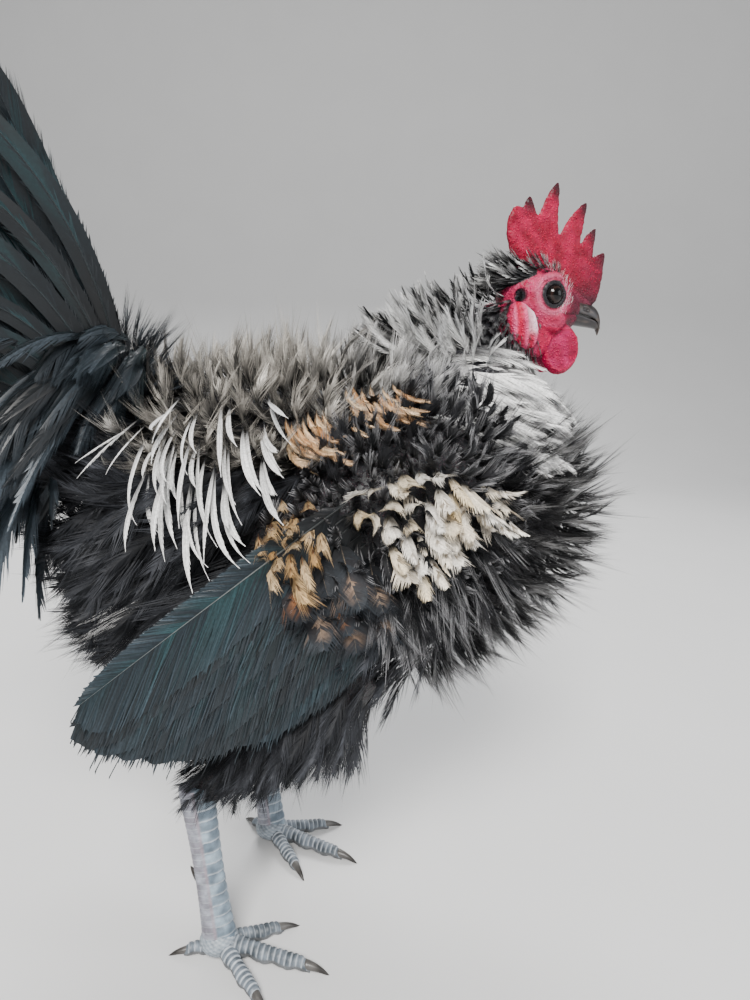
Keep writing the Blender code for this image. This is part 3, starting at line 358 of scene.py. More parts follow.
def skull_loft():
    return head_loft([(ahead, 0, *size) for ahead, *size in HEAD], 2.15)


def eye_centre(side):
    return head_place(EYE[0], side * EYE[1], EYE[2])


# The solids stand with the middle of their box on the origin, so the eyes tell how far they were moved.
SHIFT = np.mean(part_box("eye_right"), axis=0) - eye_centre(RIGHT)


def add_object(name, data):
    made = bpy.data.objects.new(name, data)
    bpy.context.scene.collection.objects.link(made)
    return made


def new_object(name, verts, faces):
    """A smooth mesh object whose vertices are given in the bird's own directions."""
    mesh = bpy.data.meshes.new(name)
    mesh.from_pydata((np.asarray(verts) + SHIFT).tolist(), [], faces)
    mesh.update()
    mesh.shade_smooth()
    return add_object(name, mesh)


def read_vectors(obj, what):
    flat = np.empty(len(obj.data.vertices) * 3)
    obj.data.vertices.foreach_get(what, flat)
    return flat.reshape(-1, 3)


def places(obj):
    """The vertices of an object in the bird's own directions."""
    return read_vectors(obj, "co") - SHIFT


def move_to(obj, points):
    obj.data.vertices.foreach_set("co", (points + SHIFT).ravel())
    obj.data.update()


def finished(obj, colours, material):
    """Stores a colour for each vertex and adds the material."""
    layer = obj.data.color_attributes.new("tint", "FLOAT_COLOR", "POINT")
    rgba = np.ones((len(colours), 4))
    rgba[:, :3] = np.clip(colours, 0, 1)
    layer.data.foreach_set("color", rgba.ravel())
    obj.data.materials.append(material)
    return obj


def apply_modifiers(obj):
    bpy.context.view_layer.update()
    graph = bpy.context.evaluated_depsgraph_get()
    mesh = bpy.data.meshes.new_from_object(obj.evaluated_get(graph))
    obj.modifiers.clear()
    mesh.materials.clear()
    obj.data = mesh
    return obj


def remesh(obj, voxel, smoothing):
    modifier = obj.modifiers.new("remesh", "REMESH")
    modifier.mode = "VOXEL"
    modifier.voxel_size = voxel
    smooth = obj.modifiers.new("smooth", "SMOOTH")
    smooth.iterations = smoothing
    smooth.factor = 0.5
    return apply_modifiers(obj)


def join_meshes(name, parts):
    """One object of several overlapping closed meshes."""
    bm = bmesh.new()
    for part in parts:
        bm.from_mesh(part.data)
    bmesh.ops.recalc_face_normals(bm, faces=bm.faces)
    mesh = bpy.data.meshes.new(name)
    bm.to_mesh(mesh)
    bm.free()
    for part in parts:
        bpy.data.objects.remove(part)
    return add_object(name, mesh)


def turned_by(degrees, axis):
    return Matrix.Rotation(math.radians(degrees), 3, axis)


def ellipsoid(name, centre, size, slope=0.0, yaw=0.0):
    """A ball stretched along its own axes, sizes and place in millimetres."""
    turned = np.array(turned_by(yaw, "Z") @ turned_by(slope, "Y"))
    rings = (ball_grid(20, 32)[2] * np.array(size)) @ turned.T + np.array(centre)
    return new_object(name, *tube_faces(rings * MM))


class Seats:
    """Where feathers are rooted, the way that they lie, the normal, and the root's place on an unwrap."""

    def __init__(self, root, along, out, place):
        self.root, self.out, self.place = root, unit(out), place
        along = unit(np.broadcast_to(along, root.shape))
        flat = along - self.out * dot(along, self.out)
        weak = np.linalg.norm(flat, axis=-1, keepdims=True) < 0.15
        spare = np.cross(self.out, np.array([0, 1.0, 0.05]))
        self.along = unit(np.where(weak, spare, flat))

    def __len__(self):
        return len(self.root)

    @property
    def x(self):
        return self.root[:, 0] / MM

    @property
    def z(self):
        return self.root[:, 2] / MM

    def keep(self, chosen):
        return Seats(self.root[chosen], self.along[chosen], self.out[chosen], self.place[chosen])


def thin_out(points, gaps):
    """Indices of points that are at least their gap from those kept before."""
    cells = np.floor(points / float(gaps.max())).astype(int).tolist()
    steps = list(product((-1, 0, 1), repeat=3))
    limits = [gap**2 for gap in gaps.tolist()]
    grid, kept = {}, []
    for index, ((i, j, k), (x, y, z)) in enumerate(zip(cells, points.tolist())):
        limit = limits[index]
        near = (spot for a, b, c in steps for spot in grid.get((i + a, j + b, k + c), ()))
        if not any((p - x) ** 2 + (q - y) ** 2 + (r - z) ** 2 < limit for p, q, r in near):
            grid.setdefault((i, j, k), []).append((x, y, z))
            kept.append(index)
    return np.array(kept)


def scatter(loft, rng, spacing, ends, lie, wanted, lift=-COAT_DEPTH, tries=30000):
    """Seats spread over a loft. wanted gives the share of the spacing at each spot, or 0 for no seat."""
    at, turn = rng.uniform(ends[0], ends[1], tries), rng.uniform(-np.pi, np.pi, tries)
    grow, step = lift * MM, 0.01
    points = loft.point(at, turn, grow)
    ahead, across = loft.point(at + step, turn, grow) - points, loft.point(at, turn + step, grow) - points
    area = np.linalg.norm(np.cross(ahead, across), axis=-1)
    x, y, z = (points / MM).T
    spot = SimpleNamespace(points=points, x=x, out=np.abs(y), z=z, at=at, turn=np.abs(turn))
    gaps = spacing * MM * wanted(spot)
    good = (rng.random(tries) < area / area.max()) & (gaps > 0)
    at, turn, points, gaps = at[good], turn[good], points[good], gaps[good]
    kept = thin_out(points, gaps)
    at, turn, points = at[kept], turn[kept], points[kept]
    out = loft.normal(at, turn)
    place = np.stack([turn / (2 * np.pi) + 0.5, at / loft.last], -1)
    return Seats(points, lie(points), out, place)


def kind(**values):
    """The make of one sort of feather. Angles are in degrees, and the profile runs from root to tip."""
    base = {
        "steps": 9, "barbs": 26, "profile": (0.5, 0.9, 1, 0.9, 0.6, 0.15), "open": (30, 16), "bend": 0.3,
        "knee": 0.5, "fill": 0.8, "cup": 0.2, "loose": 0.12, "ragged": 0.14, "bow": 1.0, "shaft": 0.4,
        "edge": (0.5, 0.9), "first": 0.05, "clump": 0.45, "tuft": 4, "lead": 1.0, "sway_bow": 1.5,
        "sides": 2, "grain": 0.14, "web": 0, "uneven": 0.12,
    }
    base.update(values)
    return SimpleNamespace(**base)


HACKLE = kind(barbs=22, profile=(0.4, 0.8, 1, 1, 0.8, 0.45, 0.1), open=(18, 11), cup=0.3, loose=0.08, bow=0.8,
              clump=0.5, tuft=3, uneven=0.18)
TUFTED = kind(barbs=18, profile=(0.5, 0.9, 1, 0.9, 0.55, 0.12), open=(24, 15), cup=0.4, loose=0.14,
              clump=0.5, tuft=3, uneven=0.2, web=0.45, edge=(0.45, 0.75), bow=0.9)
CURL = kind(barbs=22, profile=(0.4, 0.85, 1, 1, 0.8, 0.3), open=(22, 11), loose=0.2, ragged=0.2, bow=0.9,
            clump=0.5, tuft=4, fill=0.7, uneven=0.18)
WISP = kind(barbs=22, profile=(0.5, 0.9, 1, 1, 0.8, 0.4, 0.1), open=(20, 13), loose=0.2, ragged=0.2, bow=1.1,
            clump=0.45, tuft=4, fill=0.7, uneven=0.22, grain=0.1, web=0.3)
FLUFF = kind(barbs=20, profile=(0.7, 1, 1, 0.9, 0.65, 0.2), open=(22, 15), fill=0.6, loose=0.3, ragged=0.2,
             clump=0.65, tuft=4, first=0.15, uneven=0.25)
SADDLE = kind(barbs=12, profile=(0.3, 0.7, 0.95, 1, 0.9, 0.6, 0.25, 0.03), open=(9, 6), fill=1.0, cup=0.5,
              loose=0.02, ragged=0.03, steps=18, edge=(0.25, 0.5), sway_bow=2.0, clump=0, grain=0.03,
              web=0.96, shaft=0.5, uneven=0.22)
LACED = kind(barbs=14, profile=(0.4, 0.9, 1, 0.95, 0.7, 0.2), open=(42, 26), fill=0.8, cup=0.7,
             edge=(0.45, 0.8), steps=8, clump=0.55, tuft=3, web=0.45, uneven=0.25)
PETAL = kind(barbs=26, profile=(0.4, 0.8, 1, 0.97, 0.8, 0.48, 0.1), open=(42, 28), fill=1.2, cup=0.45,
             loose=0.08, ragged=0.12, bow=1.1, clump=0.45, tuft=3, grain=0.08, knee=0.6, web=0.6,
             uneven=0.28)
SPECKLED = kind(barbs=44, profile=(0.5, 0.85, 1, 1, 0.98, 0.88, 0.55, 0.1), open=(52, 42), fill=1.15,
                cup=0.15, loose=0.03, ragged=0.05, bow=1.6, clump=0.25, tuft=3, web=0.6, uneven=0.12)
QUILL = kind(barbs=180, profile=(0.45, 0.75, 0.95, 1, 1, 1, 0.95, 0.85, 0.6, 0.15), open=(30, 27), fill=1.3,
             cup=0.05, loose=0.05, ragged=0.02, shaft=0.9, steps=20, first=0.02, clump=0.12, tuft=11,
             lead=0.36, sides=3, knee=0.9, bend=-0.2, web=0.93, grain=0.3, uneven=0.02)
RECTRIX = kind(barbs=140, profile=(0.4, 0.75, 0.95, 1, 1, 0.95, 0.8, 0.5, 0.12), open=(20, 13), fill=1.3,
               cup=0.12, loose=0.07, ragged=0.04, shaft=0.9, steps=14, first=0.03, clump=0.4, tuft=13,
               sides=3, grain=0.07, web=0.82, uneven=0.05, bend=-0.15)
SICKLE = kind(barbs=110, profile=(0.5, 0.85, 1, 1, 0.9, 0.7, 0.4, 0.08), open=(20, 12), fill=1.3, cup=0.4,
              loose=0.07, ragged=0.06, shaft=0.8, steps=18, clump=0.4, tuft=12, sides=3, grain=0.07, web=0.78,
              uneven=0.07, bend=-0.15)
RIBBON = kind(barbs=44, profile=(0.5, 0.9, 1, 0.95, 0.75, 0.4, 0.06), open=(17, 14), cup=0.4, loose=0.04,
              steps=13, clump=0.45, tuft=9, fill=1.2, grain=0.1, web=0.5, uneven=0.2)
SPIKY = kind(barbs=9, open=(26, 11), fill=0.8, profile=(0.7, 1, 0.9, 0.3), steps=5, clump=0.7, tuft=3,
             edge=(0.45, 0.8), uneven=0.25)
BRISTLE = kind(barbs=0, shaft=0.26, steps=4)


def feather_lines(seats, how, length, lean, curl, sway, twist, droop):
    """Points, directions, sides and normals along each feather."""
    share = (np.arange(how.steps) + 0.5) / how.steps
    theta = lean[:, None] + curl[:, None] * share**how.bow
    turn = sway[:, None] * share**how.sway_bow
    left = np.cross(seats.out, seats.along)
    flat = seats.along[:, None] * np.cos(turn)[..., None] + left[:, None] * np.sin(turn)[..., None]
    heading = flat * np.cos(theta)[..., None] + seats.out[:, None] * np.sin(theta)[..., None]
    heading[..., 2] -= droop * share
    heading = unit(heading)
    run = np.cumsum(heading, axis=1) * (length / how.steps)[:, None, None]
    line = np.concatenate([seats.root[:, None], seats.root[:, None] + run], 1)
    across = np.cross(flat, seats.out[:, None])

    def at_nodes(v):
        return unit(np.concatenate([v[:, :1], (v[:, 1:] + v[:, :-1]) / 2, v[:, -1:]], 1))

    ahead, side = at_nodes(heading), at_nodes(across)
    side = unit(side - ahead * dot(side, ahead))
    roll = (twist[:, None] * np.arange(how.steps + 1) / how.steps)[..., None]
    side = side * np.cos(roll) + np.cross(side, ahead) * np.sin(roll)
    return line, ahead, side, np.cross(side, ahead)


def on_feather(lines, steps, length, share, across, lift):
    """Points at shares of each feather's length, so far across and above it. Its end runs straight on."""
    where = np.clip(share, 0, 1) * steps
    i = np.clip(where.astype(int), 0, steps - 1)
    f = (where - i)[..., None]
    rows = np.arange(len(share))[:, None]
    line, ahead, side, face = (v[rows, i] * (1 - f) + v[rows, i + 1] * f for v in lines)
    beyond = np.maximum(share - 1, 0) * length[:, None]
    return line + ahead * beyond[..., None] + side * across[..., None] + face * lift[..., None]


def vane_side(lines, how, shape, sign, share, out, up, t):
    """Points on one side of the shafts and their (s, t): t is 0 at the shaft and 1 or -1 at the edge."""
    flat = (v.reshape(len(v), -1) for v in (share, sign * out, up))
    t = np.broadcast_to(np.array(t) * sign, share.shape)
    where = np.stack([np.clip(share, 0, 1), t], -1).reshape(len(share), -1, 2)
    return on_feather(lines, how.steps, shape.length, *flat), where


def each_feather(faces, count, size):
    """The faces of one feather, which has so many vertices, repeated for every feather."""
    one = np.concatenate(faces).reshape(-1, 3)
    return (np.arange(count)[:, None, None] * size + one).reshape(-1, 3)


def vane_shape(how, share):
    """How far out a vane reaches and how far its barbs open, along its length."""
    profile = np.interp(share, np.linspace(0, 1, len(how.profile)), how.profile)
    return profile, np.radians(np.interp(share, (0, 1), how.open))


def gathered(values, middle, pull):
    return values * (1 - pull) + np.take_along_axis(values, middle, 1) * pull


def barb_mesh(seats, how, shape, lines, lead_side, rng):
    """Vertices, triangles, (s, t) and tuft number of every barb: 5 vertices and 3 triangles apiece."""
    count, barbs = len(seats), how.barbs
    pitch = (1 - how.first) / barbs
    share = np.broadcast_to(how.first + pitch * (np.arange(barbs) + 0.5), (count, barbs))
    profile, open_at = vane_shape(how, share)
    half = pitch * 0.6
    pick = np.array([(0, 1, 3), (0, 3, 2), (2, 3, 4)])
    verts, faces, wheres, tufts = [], [], [], []
    for sign in (-1.0, 1.0):
        chance = rng.normal(0, 1, (3, count, barbs))
        opened = open_at * (1 + 0.1 * chance[0])
        reach = shape.width[:, None] / 2 * profile * (1 + how.ragged * chance[1])
        reach = np.maximum(reach * (how.lead if sign == lead_side else 1), 0.15 * MM)
        near = reach * how.knee
        knee_at = share + near / np.tan(opened * KNEE_OPEN) / shape.length[:, None]
        tip_open = np.maximum(opened * (1 - how.bend), 0.1)
        tip_at = knee_at + (reach - near) / np.tan(tip_open) / shape.length[:, None]
        lift = (how.loose * chance[2] - how.cup) * reach
        offset = rng.integers(0, how.tuft, (count, 1))
        group = (np.arange(barbs) + offset) // how.tuft
        middle = np.clip(group * how.tuft - offset + how.tuft // 2, 0, barbs - 1)
        tip_at, tip_out, tip_lift = (gathered(v, middle, how.clump) for v in (tip_at, reach, lift))
        shingle = np.full_like(reach, 0.04 * MM)
        wide = half * how.fill
        s = np.stack([share - half, share + half, knee_at - wide, knee_at + wide, tip_at], -1)
        out = np.stack([reach * 0, reach * 0, near, near, tip_out], -1)
        up = np.stack([-shingle, shingle, lift * 0.3 - shingle, lift * 0.3 + shingle, tip_lift], -1)
        points, where = vane_side(lines, how, shape, sign, s, out, up, [0, 0, how.knee, how.knee, 1.0])
        verts.append(points)
        wheres.append(where)
        faces.append(pick[:, :: int(sign)] + np.arange(barbs)[:, None, None] * 5 + (sign > 0) * barbs * 5)
        tufts.append(np.repeat(group + (sign > 0) * (barbs + STRAND_GAP), 5, axis=1))
    faces = each_feather(faces, count, barbs * 10)
    return np.concatenate(verts, 1), faces, np.concatenate(wheres, 1), np.concatenate(tufts, 1)


def web_mesh(seats, how, shape, lines, lead_side):
    """Vertices, triangles and (s, t) of the closed inner part of each vane, as two strips a feather."""
    count, rows = len(seats), how.steps + 1
    share = np.broadcast_to(np.linspace(how.first, 1, rows), (count, rows))
    profile, opened = vane_shape(how, share)
    one = np.array([(0, 2, 3), (0, 3, 1)]) + 2 * np.arange(rows - 1)[:, None, None]
    verts, faces, wheres = [], [], []
    for sign in (-1.0, 1.0):
        reach = shape.width[:, None] / 2 * profile * how.web * (how.lead if sign == lead_side else 1)
        s = np.stack([share, share + reach / np.tan(opened * KNEE_OPEN) / shape.length[:, None]], -1)
        out = np.stack([reach * 0, reach], -1)
        up = -0.3 * how.cup * out - 0.12 * MM
        points, where = vane_side(lines, how, shape, sign, s, out, up, [0, how.web])
        verts.append(points)
        wheres.append(where)
        faces.append(one[..., :: int(sign)] + (sign > 0) * rows * 2)
    return np.concatenate(verts, 1), each_feather(faces, count, rows * 4), np.concatenate(wheres, 1)


def shaft_mesh(seats, how, lines):
    """A slim shaft down the middle of each feather: a prism of three sides, or a ribbon of one."""
    line, _, side, face = lines
    count, nodes, sides = len(seats), how.steps + 1, how.sides
    share = np.linspace(0, 1, nodes)
    reach = (how.shaft * MM * (1 - 0.85 * share) / 2)[None, :, None]
    ring = np.stack([line + side * reach, line - side * reach, line + face * reach * 1.5][:sides], 2)
    four = quads(nodes, sides).reshape(nodes - 1, sides, 4)[:, : 3 if sides == 3 else 1].reshape(-1, 4)
    faces = each_feather([four[:, [0, 1, 2]], four[:, [0, 2, 3]]], count, nodes * sides)
    where = np.zeros((count, nodes, sides, 2))
    where[..., 0] = share[None, :, None]
    return ring.reshape(count, -1, 3), faces, where.reshape(count, -1, 2)


def toned(body, tip=None, edge=None, root=BLACK, **more):
    """The colours of some feathers. A tip or edge without a colour of its own has the body's."""
    tip = body if tip is None else tip
    edge = body if edge is None else edge
    return {"root": root, "body": body, "tip": tip, "edge": edge, **more}


def paint(where, tufts, tones, how, rng):
    """Colours from the root, body, edge, tip, spot and streak tones of each feather."""
    s, t = where[..., 0], np.abs(where[..., 1])
    count = len(s)
    rows = np.arange(count)[:, None]
    body = tones["body"][:, None]
    lot = rng.random((count, LOTS))[rows, tufts % LOTS]
    if "streak" in tones:
        body = mix(body, tones["streak"][:, None], (lot < tones.get("streaks", 0.3)) * 1.0)
    # Darker towards the root: partly the feathers' own dark bases and partly painted shade deep in the coat.
    colour = mix(tones["root"][:, None], body, ramp(s, *ROOT_FADE))
    if "spot" in tones:
        inside = 1 - ramp(np.hypot((s - SPOT_AT) / SPOT_SIZE[0], t / SPOT_SIZE[1]), *SPOT_FADE)
        colour = mix(colour, tones["spot"][:, None], inside * (0.1 + 0.9 * (lot > 0.5)))
    colour = mix(colour, tones["tip"][:, None], ramp(s, *TIP_FADE) * tones.get("tipped", 0.8))
    rim = ramp(t, *how.edge) * ramp(s, *EDGE_FADE) * tones.get("laced", 0.7)
    colour = mix(colour, tones["edge"][:, None], rim)
    grain = rng.normal(0, how.grain, (count, LOTS))[rows, (np.arange(s.shape[1]) // 5) % LOTS]
    return colour * (1 + rng.normal(0, 0.06, (count, 1)) + grain)[..., None]


def grow(name, seats, how, tones, material, length, width, lean, curl, sway=0.0, wild=0.0, droop=0.0,
         lead_side=0.0):
    """One mesh of feathers, each rooted at a seat. Lengths in millimetres and angles in degrees."""
    rng = np.random.default_rng(len(seats) * 7 + len(name))
    count = len(seats)

    def each(value):
        return np.broadcast_to(np.asarray(value, float), (count,))

    def spread(value):
        return each(value) * (1 + rng.normal(0, how.uneven, count))

    def swung(value):
        return np.radians(each(value) + rng.normal(0, 1, count) * wild)

    shape = SimpleNamespace(length=np.clip(spread(length), 1.5, 1.25 * np.max(length)) * MM)
    shape.width = np.maximum(spread(width), 0.8) * MM
    turns = [np.radians(spread(lean)), np.radians(spread(curl)), swung(sway), swung(0.0)]
    lines = feather_lines(seats, how, shape.length, *turns, droop)
    tones = {k: (np.broadcast_to(v, (count, 3)) if np.shape(v)[-1:] == (3,) else v) for k, v in tones.items()}
    stem, faces, where = shaft_mesh(seats, how, lines)
    colour = np.broadcast_to(tones.get("stem", tones["body"])[:, None], stem.shape)
    colour = mix(colour, tones["root"][:, None], 1 - ramp(where[..., 0], *STEM_FADE))
    sets = [(stem, faces, where, colour)]
    if how.barbs:
        barbs, faces, where, tufts = barb_mesh(seats, how, shape, lines, lead_side, rng)
        sets.append((barbs, faces, where, paint(where, tufts, tones, how, rng)))
    if how.web:
        webs, faces, where = web_mesh(seats, how, shape, lines, lead_side)
        lots = np.broadcast_to(np.arange(where.shape[1]) // 4 + VANE_LOT, where.shape[:2])
        # The web gets painted shade under the barbs.
        sets.append((webs, faces, where, paint(where, lots, tones, how, rng) * WEB_SHADE))
    return feather_object(name, seats, sets, material)


def feather_object(name, seats, sets, material):
    """Builds the mesh, its colours and the map in which each feather is one small patch at its root."""
    verts, corners, colours, spots = [], [], [], []
    total = 0
    for points, tris, where, colour in sets:
        verts.append(points.reshape(-1, 3))
        corners.append(tris.ravel() + total)
        colours.append(np.broadcast_to(colour, points.shape).reshape(-1, 3))
        spot = seats.place[:, None] + TUFT_PATCH * np.stack([where[..., 0] - 0.5, where[..., 1] * 0.5], -1)
        spots.append(spot.reshape(-1, 2))
        total += len(verts[-1])
    corners = np.concatenate(corners)
    mesh = bpy.data.meshes.new(name)
    mesh.vertices.add(total)
    mesh.vertices.foreach_set("co", (np.concatenate(verts) + SHIFT).ravel())
    mesh.loops.add(len(corners))
    mesh.loops.foreach_set("vertex_index", corners.astype(np.int32))
    mesh.polygons.add(len(corners) // 3)
    mesh.polygons.foreach_set("loop_start", np.arange(0, len(corners), 3, dtype=np.int32))
    mesh.update(calc_edges=True)
    mesh.shade_smooth()
    layer = mesh.uv_layers.new(name="OFBake")
    layer.data.foreach_set("uv", np.clip(np.concatenate(spots)[corners], 0, 1).ravel())
    return finished(add_object(name, mesh), np.concatenate(colours), material)


def set_inputs(made, **inputs):
    for key, value in inputs.items():
        made.inputs[key.replace("_", " ")].default_value = value
    return made


def node(tree, name, **inputs):
    return set_inputs(tree.nodes.new("ShaderNode" + name), **inputs)


def texture(tree, name, **inputs):
    """A texture that is read in the piece's own coordinates."""
    made = node(tree, name, **inputs)
    coords = tree.nodes.get("Texture Coordinate") or node(tree, "TexCoord")
    tree.links.new(coords.outputs["Object"], made.inputs["Vector"])
    return made


def fine_noise(tree, scale, detail):
    return texture(tree, "TexNoise", Scale=scale, Detail=detail).outputs["Fac"]


def spanned(tree, value, source, target):
    """A value's range stretched to another one."""
    made = node(tree, "MapRange", From_Min=source[0], From_Max=source[1], To_Min=target[0], To_Max=target[1])
    tree.links.new(value, made.inputs["Value"])
    return made.outputs["Result"]


def maths(tree, operation, *values):
    made = node(tree, "Math")
    made.operation = operation
    for value, socket in zip(values, made.inputs):
        tree.links.new(value, socket)
    return made.outputs["Value"]


def blend(tree, how, factor, a, b):
    """Two colours blended. Each input is a socket or a value."""
    made = node(tree, "Mix")
    made.data_type, made.blend_type = "RGBA", how
    for key, value in (("Factor", factor), ("A", a), ("B", b)):
        if isinstance(value, bpy.types.NodeSocket):
            tree.links.new(value, made.inputs[key])
        else:
            made.inputs[key].default_value = value
    return made.outputs["Result"]


def new_material(name, roughness, **inputs):
    """A material, its node tree and its shader."""
    made = bpy.data.materials.new(name)
    made.use_nodes = True
    shader = set_inputs(made.node_tree.nodes["Principled BSDF"], Roughness=roughness, **inputs)
    return made, made.node_tree, shader


def stored_tint(tree):
    made = tree.nodes.get("Attribute") or node(tree, "Attribute")
    made.attribute_name = "tint"
    return made.outputs["Color"]


def tinted(tree, scale, low, high):
    """The stored colour, made lighter and darker by fine noise."""
    span = spanned(tree, fine_noise(tree, scale, 3.0), (0.3, 0.7), (low, high))
    return blend(tree, "MULTIPLY", 1.0, stored_tint(tree), span)


def feather_material(name, roughness, sheen_tint=(1, 1, 1), **inputs):
    made, tree, shader = new_material(name, roughness, Sheen_Weight=0.04, Sheen_Tint=(*sheen_tint, 1),
                                      Sheen_Roughness=0.4, **inputs)
    tree.links.new(tinted(tree, 900.0, 0.75, 1.2), shader.inputs["Base Color"])
    return made


def bump_from(tree, shader, height, distance, strength):
    bump = node(tree, "Bump", Strength=strength, Distance=distance)
    tree.links.new(height, bump.inputs["Height"])
    tree.links.new(bump.outputs["Normal"], shader.inputs["Normal"])


def skin_material():
    """Pebbled red skin: raised grains whose crowns are painted paler over the stored colour, as a highlight.
    """
    made, tree, shader = new_material("bare_skin", 0.45, Specular_IOR_Level=0.25, Subsurface_Weight=0.1,
                                      Subsurface_Radius=(1.0, 0.25, 0.18), Subsurface_Scale=0.0015)
    cells = texture(tree, "TexVoronoi", Scale=760.0).outputs["Distance"]
    crown = spanned(tree, cells, (0.12, 0.5), (1.0, 0.0))
    bump_from(tree, shader, maths(tree, "ADD", crown, fine_noise(tree, 420.0, 4.0)), 0.0006, 0.9)
    # Paler crowns on the grains, in patches: a painted highlight.
    patches = spanned(tree, fine_noise(tree, 170.0, 3.0), (0.35, 0.65), (0.15, 0.9))
    share = maths(tree, "MULTIPLY", crown, patches)
    pale = blend(tree, "SCREEN", share, tinted(tree, 260.0, 0.75, 1.1), stored_tint(tree))
    warm = blend(tree, "SOFT_LIGHT", share, pale, (1.0, 0.6, 0.7, 1))
    tree.links.new(warm, shader.inputs["Base Color"])
    return made


def horn_material(name, roughness):
    """Worn horn or scales with fine growth lines over the stored colour."""
    made, tree, shader = new_material(name, roughness)
    bump_from(tree, shader, fine_noise(tree, 650.0, 5.0), 0.0002, 0.5)
    tree.links.new(tinted(tree, 300.0, 0.7, 1.2), shader.inputs["Base Color"])
    return made


def eye_material():
    made, tree, shader = new_material("eye_wet", 0.05, Specular_IOR_Level=0.3)
    tree.links.new(tinted(tree, 700.0, 0.6, 1.5), shader.inputs["Base Color"])
    return made


def stage_material():
    made, tree, shader = new_material("pale_floor", 0.85)
    pale = spanned(tree, fine_noise(tree, 6.0, 2.0), (0, 1), (0.62, 0.66))
    tree.links.new(pale, shader.inputs["Base Color"])
    return made


def smooth_loop(points, per):
    """A closed outline with more points on a smooth curve through the given ones."""
    p = np.array(points, float)
    near = (np.roll(p, -k, axis=0)[:, None] for k in (-1, 0, 1, 2))
    return spline(*near, np.arange(per)[:, None] / per).reshape(-1, 2)


def comb_outline():
    outline = list(COMB_LOBE)
    for i, (x, z) in enumerate(COMB_TIPS):
        before = COMB_NOTCHES[i - 1] if i else COMB_LOBE[-1]
        outline.append((x * COMB_LEAN + before[0] * (1 - COMB_LEAN) - 0.8, z * 0.5 + before[1] * 0.5))
        outline.append((x, z))
        if i < len(COMB_NOTCHES):
            outline.append(COMB_NOTCHES[i])
    return outline + list(COMB_FRONT) + list(COMB_ROOT)


def comb_part():
    """A blade inflated from the comb's outline, thick at its root and thin in its points."""
    loop = smooth_loop(comb_outline(), 5)
    gx, gz = np.meshgrid(np.arange(136, 205, 1.0), np.arange(346, 418, 1.0))
    inner = np.stack([gx.ravel(), gz.ravel()], -1)
    inner = inner[distance_inside(inner, loop) > 0.6]
    points = [Vector(p) for p in np.concatenate([loop, inner])]
    flat, _, faces, *_ = delaunay_2d_cdt(points, [], [list(range(len(loop)))], 1, 1e-5)
    flat = np.array([tuple(v) for v in flat])
    depth = np.maximum(distance_inside(flat, loop), 0)
    full = 1.1 + 2.6 * (1 - ramp(flat[:, 1], 362, 398))
    half = full * np.sqrt(1 - (1 - np.clip(depth / 4.0, 0, 1)) ** 2) + 0.15
    sheets = [np.stack([flat[:, 0], s * half, flat[:, 1]], -1) for s in (-1, 1)]
    count = len(flat)
    rim = [i for i in range(count) if depth[i] < 0.02]
    order = sorted(rim, key=lambda i: np.argmin(np.hypot(*(loop - flat[i]).T)))
    ring = [(a, b, b + count, a + count) for a, b in zip(order, order[1:] + order[:1])]
    both = [tuple(f) for f in faces] + [tuple(i + count for i in f[::-1]) for f in faces]
    return new_object("comb_part", np.concatenate(sheets) * MM, both + ring)


def distance_inside(points, outline):
    """The distance of points from a closed outline, less than 0 outside it."""
    start, end = outline, np.roll(outline, -1, axis=0)
    p = points[:, None]
    edge = (end - start)[None]
    t = np.clip(np.sum((p - start) * edge, -1) / np.maximum(np.sum(edge**2, -1), 1e-9), 0, 1)
    away = np.linalg.norm(p - start - t[..., None] * edge, axis=-1).min(1)
    x, z = points[:, :1], points[:, 1:]
    (x0, z0), (x1, z1) = start.T, end.T
    crosses = ((z0 > z) != (z1 > z)) & (x < (x1 - x0) * (z - z0) / (np.where(z1 == z0, 1e-9, z1 - z0)) + x0)
    return np.where(crosses.sum(1) % 2 == 1, away, -away)


def head_parts():
    """Closed pieces of the bare head, to be melted into one skin."""
    parts = [new_object("skull", *skull_loft().grid(70, 64, -0.5 * MM)), comb_part()]
    for _, side in SIDES:
        for size, (ahead, out, above) in CHEEKS:
            parts.append(ellipsoid("cheek", head_place(ahead, side * out, above) / MM, size, HEAD_TILT))
        place = head_place(LOBE[0], side * LOBE_OUT, LOBE[1]) / MM
        size = (LOBE_SIZE[0], LOBE_THICK, LOBE_SIZE[1])
        parts.append(ellipsoid("lobe", place, size, HEAD_TILT - LOBE_TURN))
        place = (WATTLE[0], side * WATTLE[1], WATTLE[2])
        parts.append(ellipsoid("wattle", place, WATTLE_SIZE, yaw=side * 6))
        parts.append(lid(side))
    return parts


def lid(side):
    """The thick rim of the eyelids."""
    turn, around = np.meshgrid(circle(48), circle(12), indexing="ij")
    reach = LID_REACH + LID_THICK * np.cos(around)
    out = side * (LID_OUT + LID_THICK * np.sin(around))
    ring = head_place(EYE[0] + reach * np.cos(turn) * LID_STRETCH, out, EYE[2] + reach * np.sin(turn))
    return new_object("lid", ring.reshape(-1, 3), quads(48, 12, wrap=True).tolist())


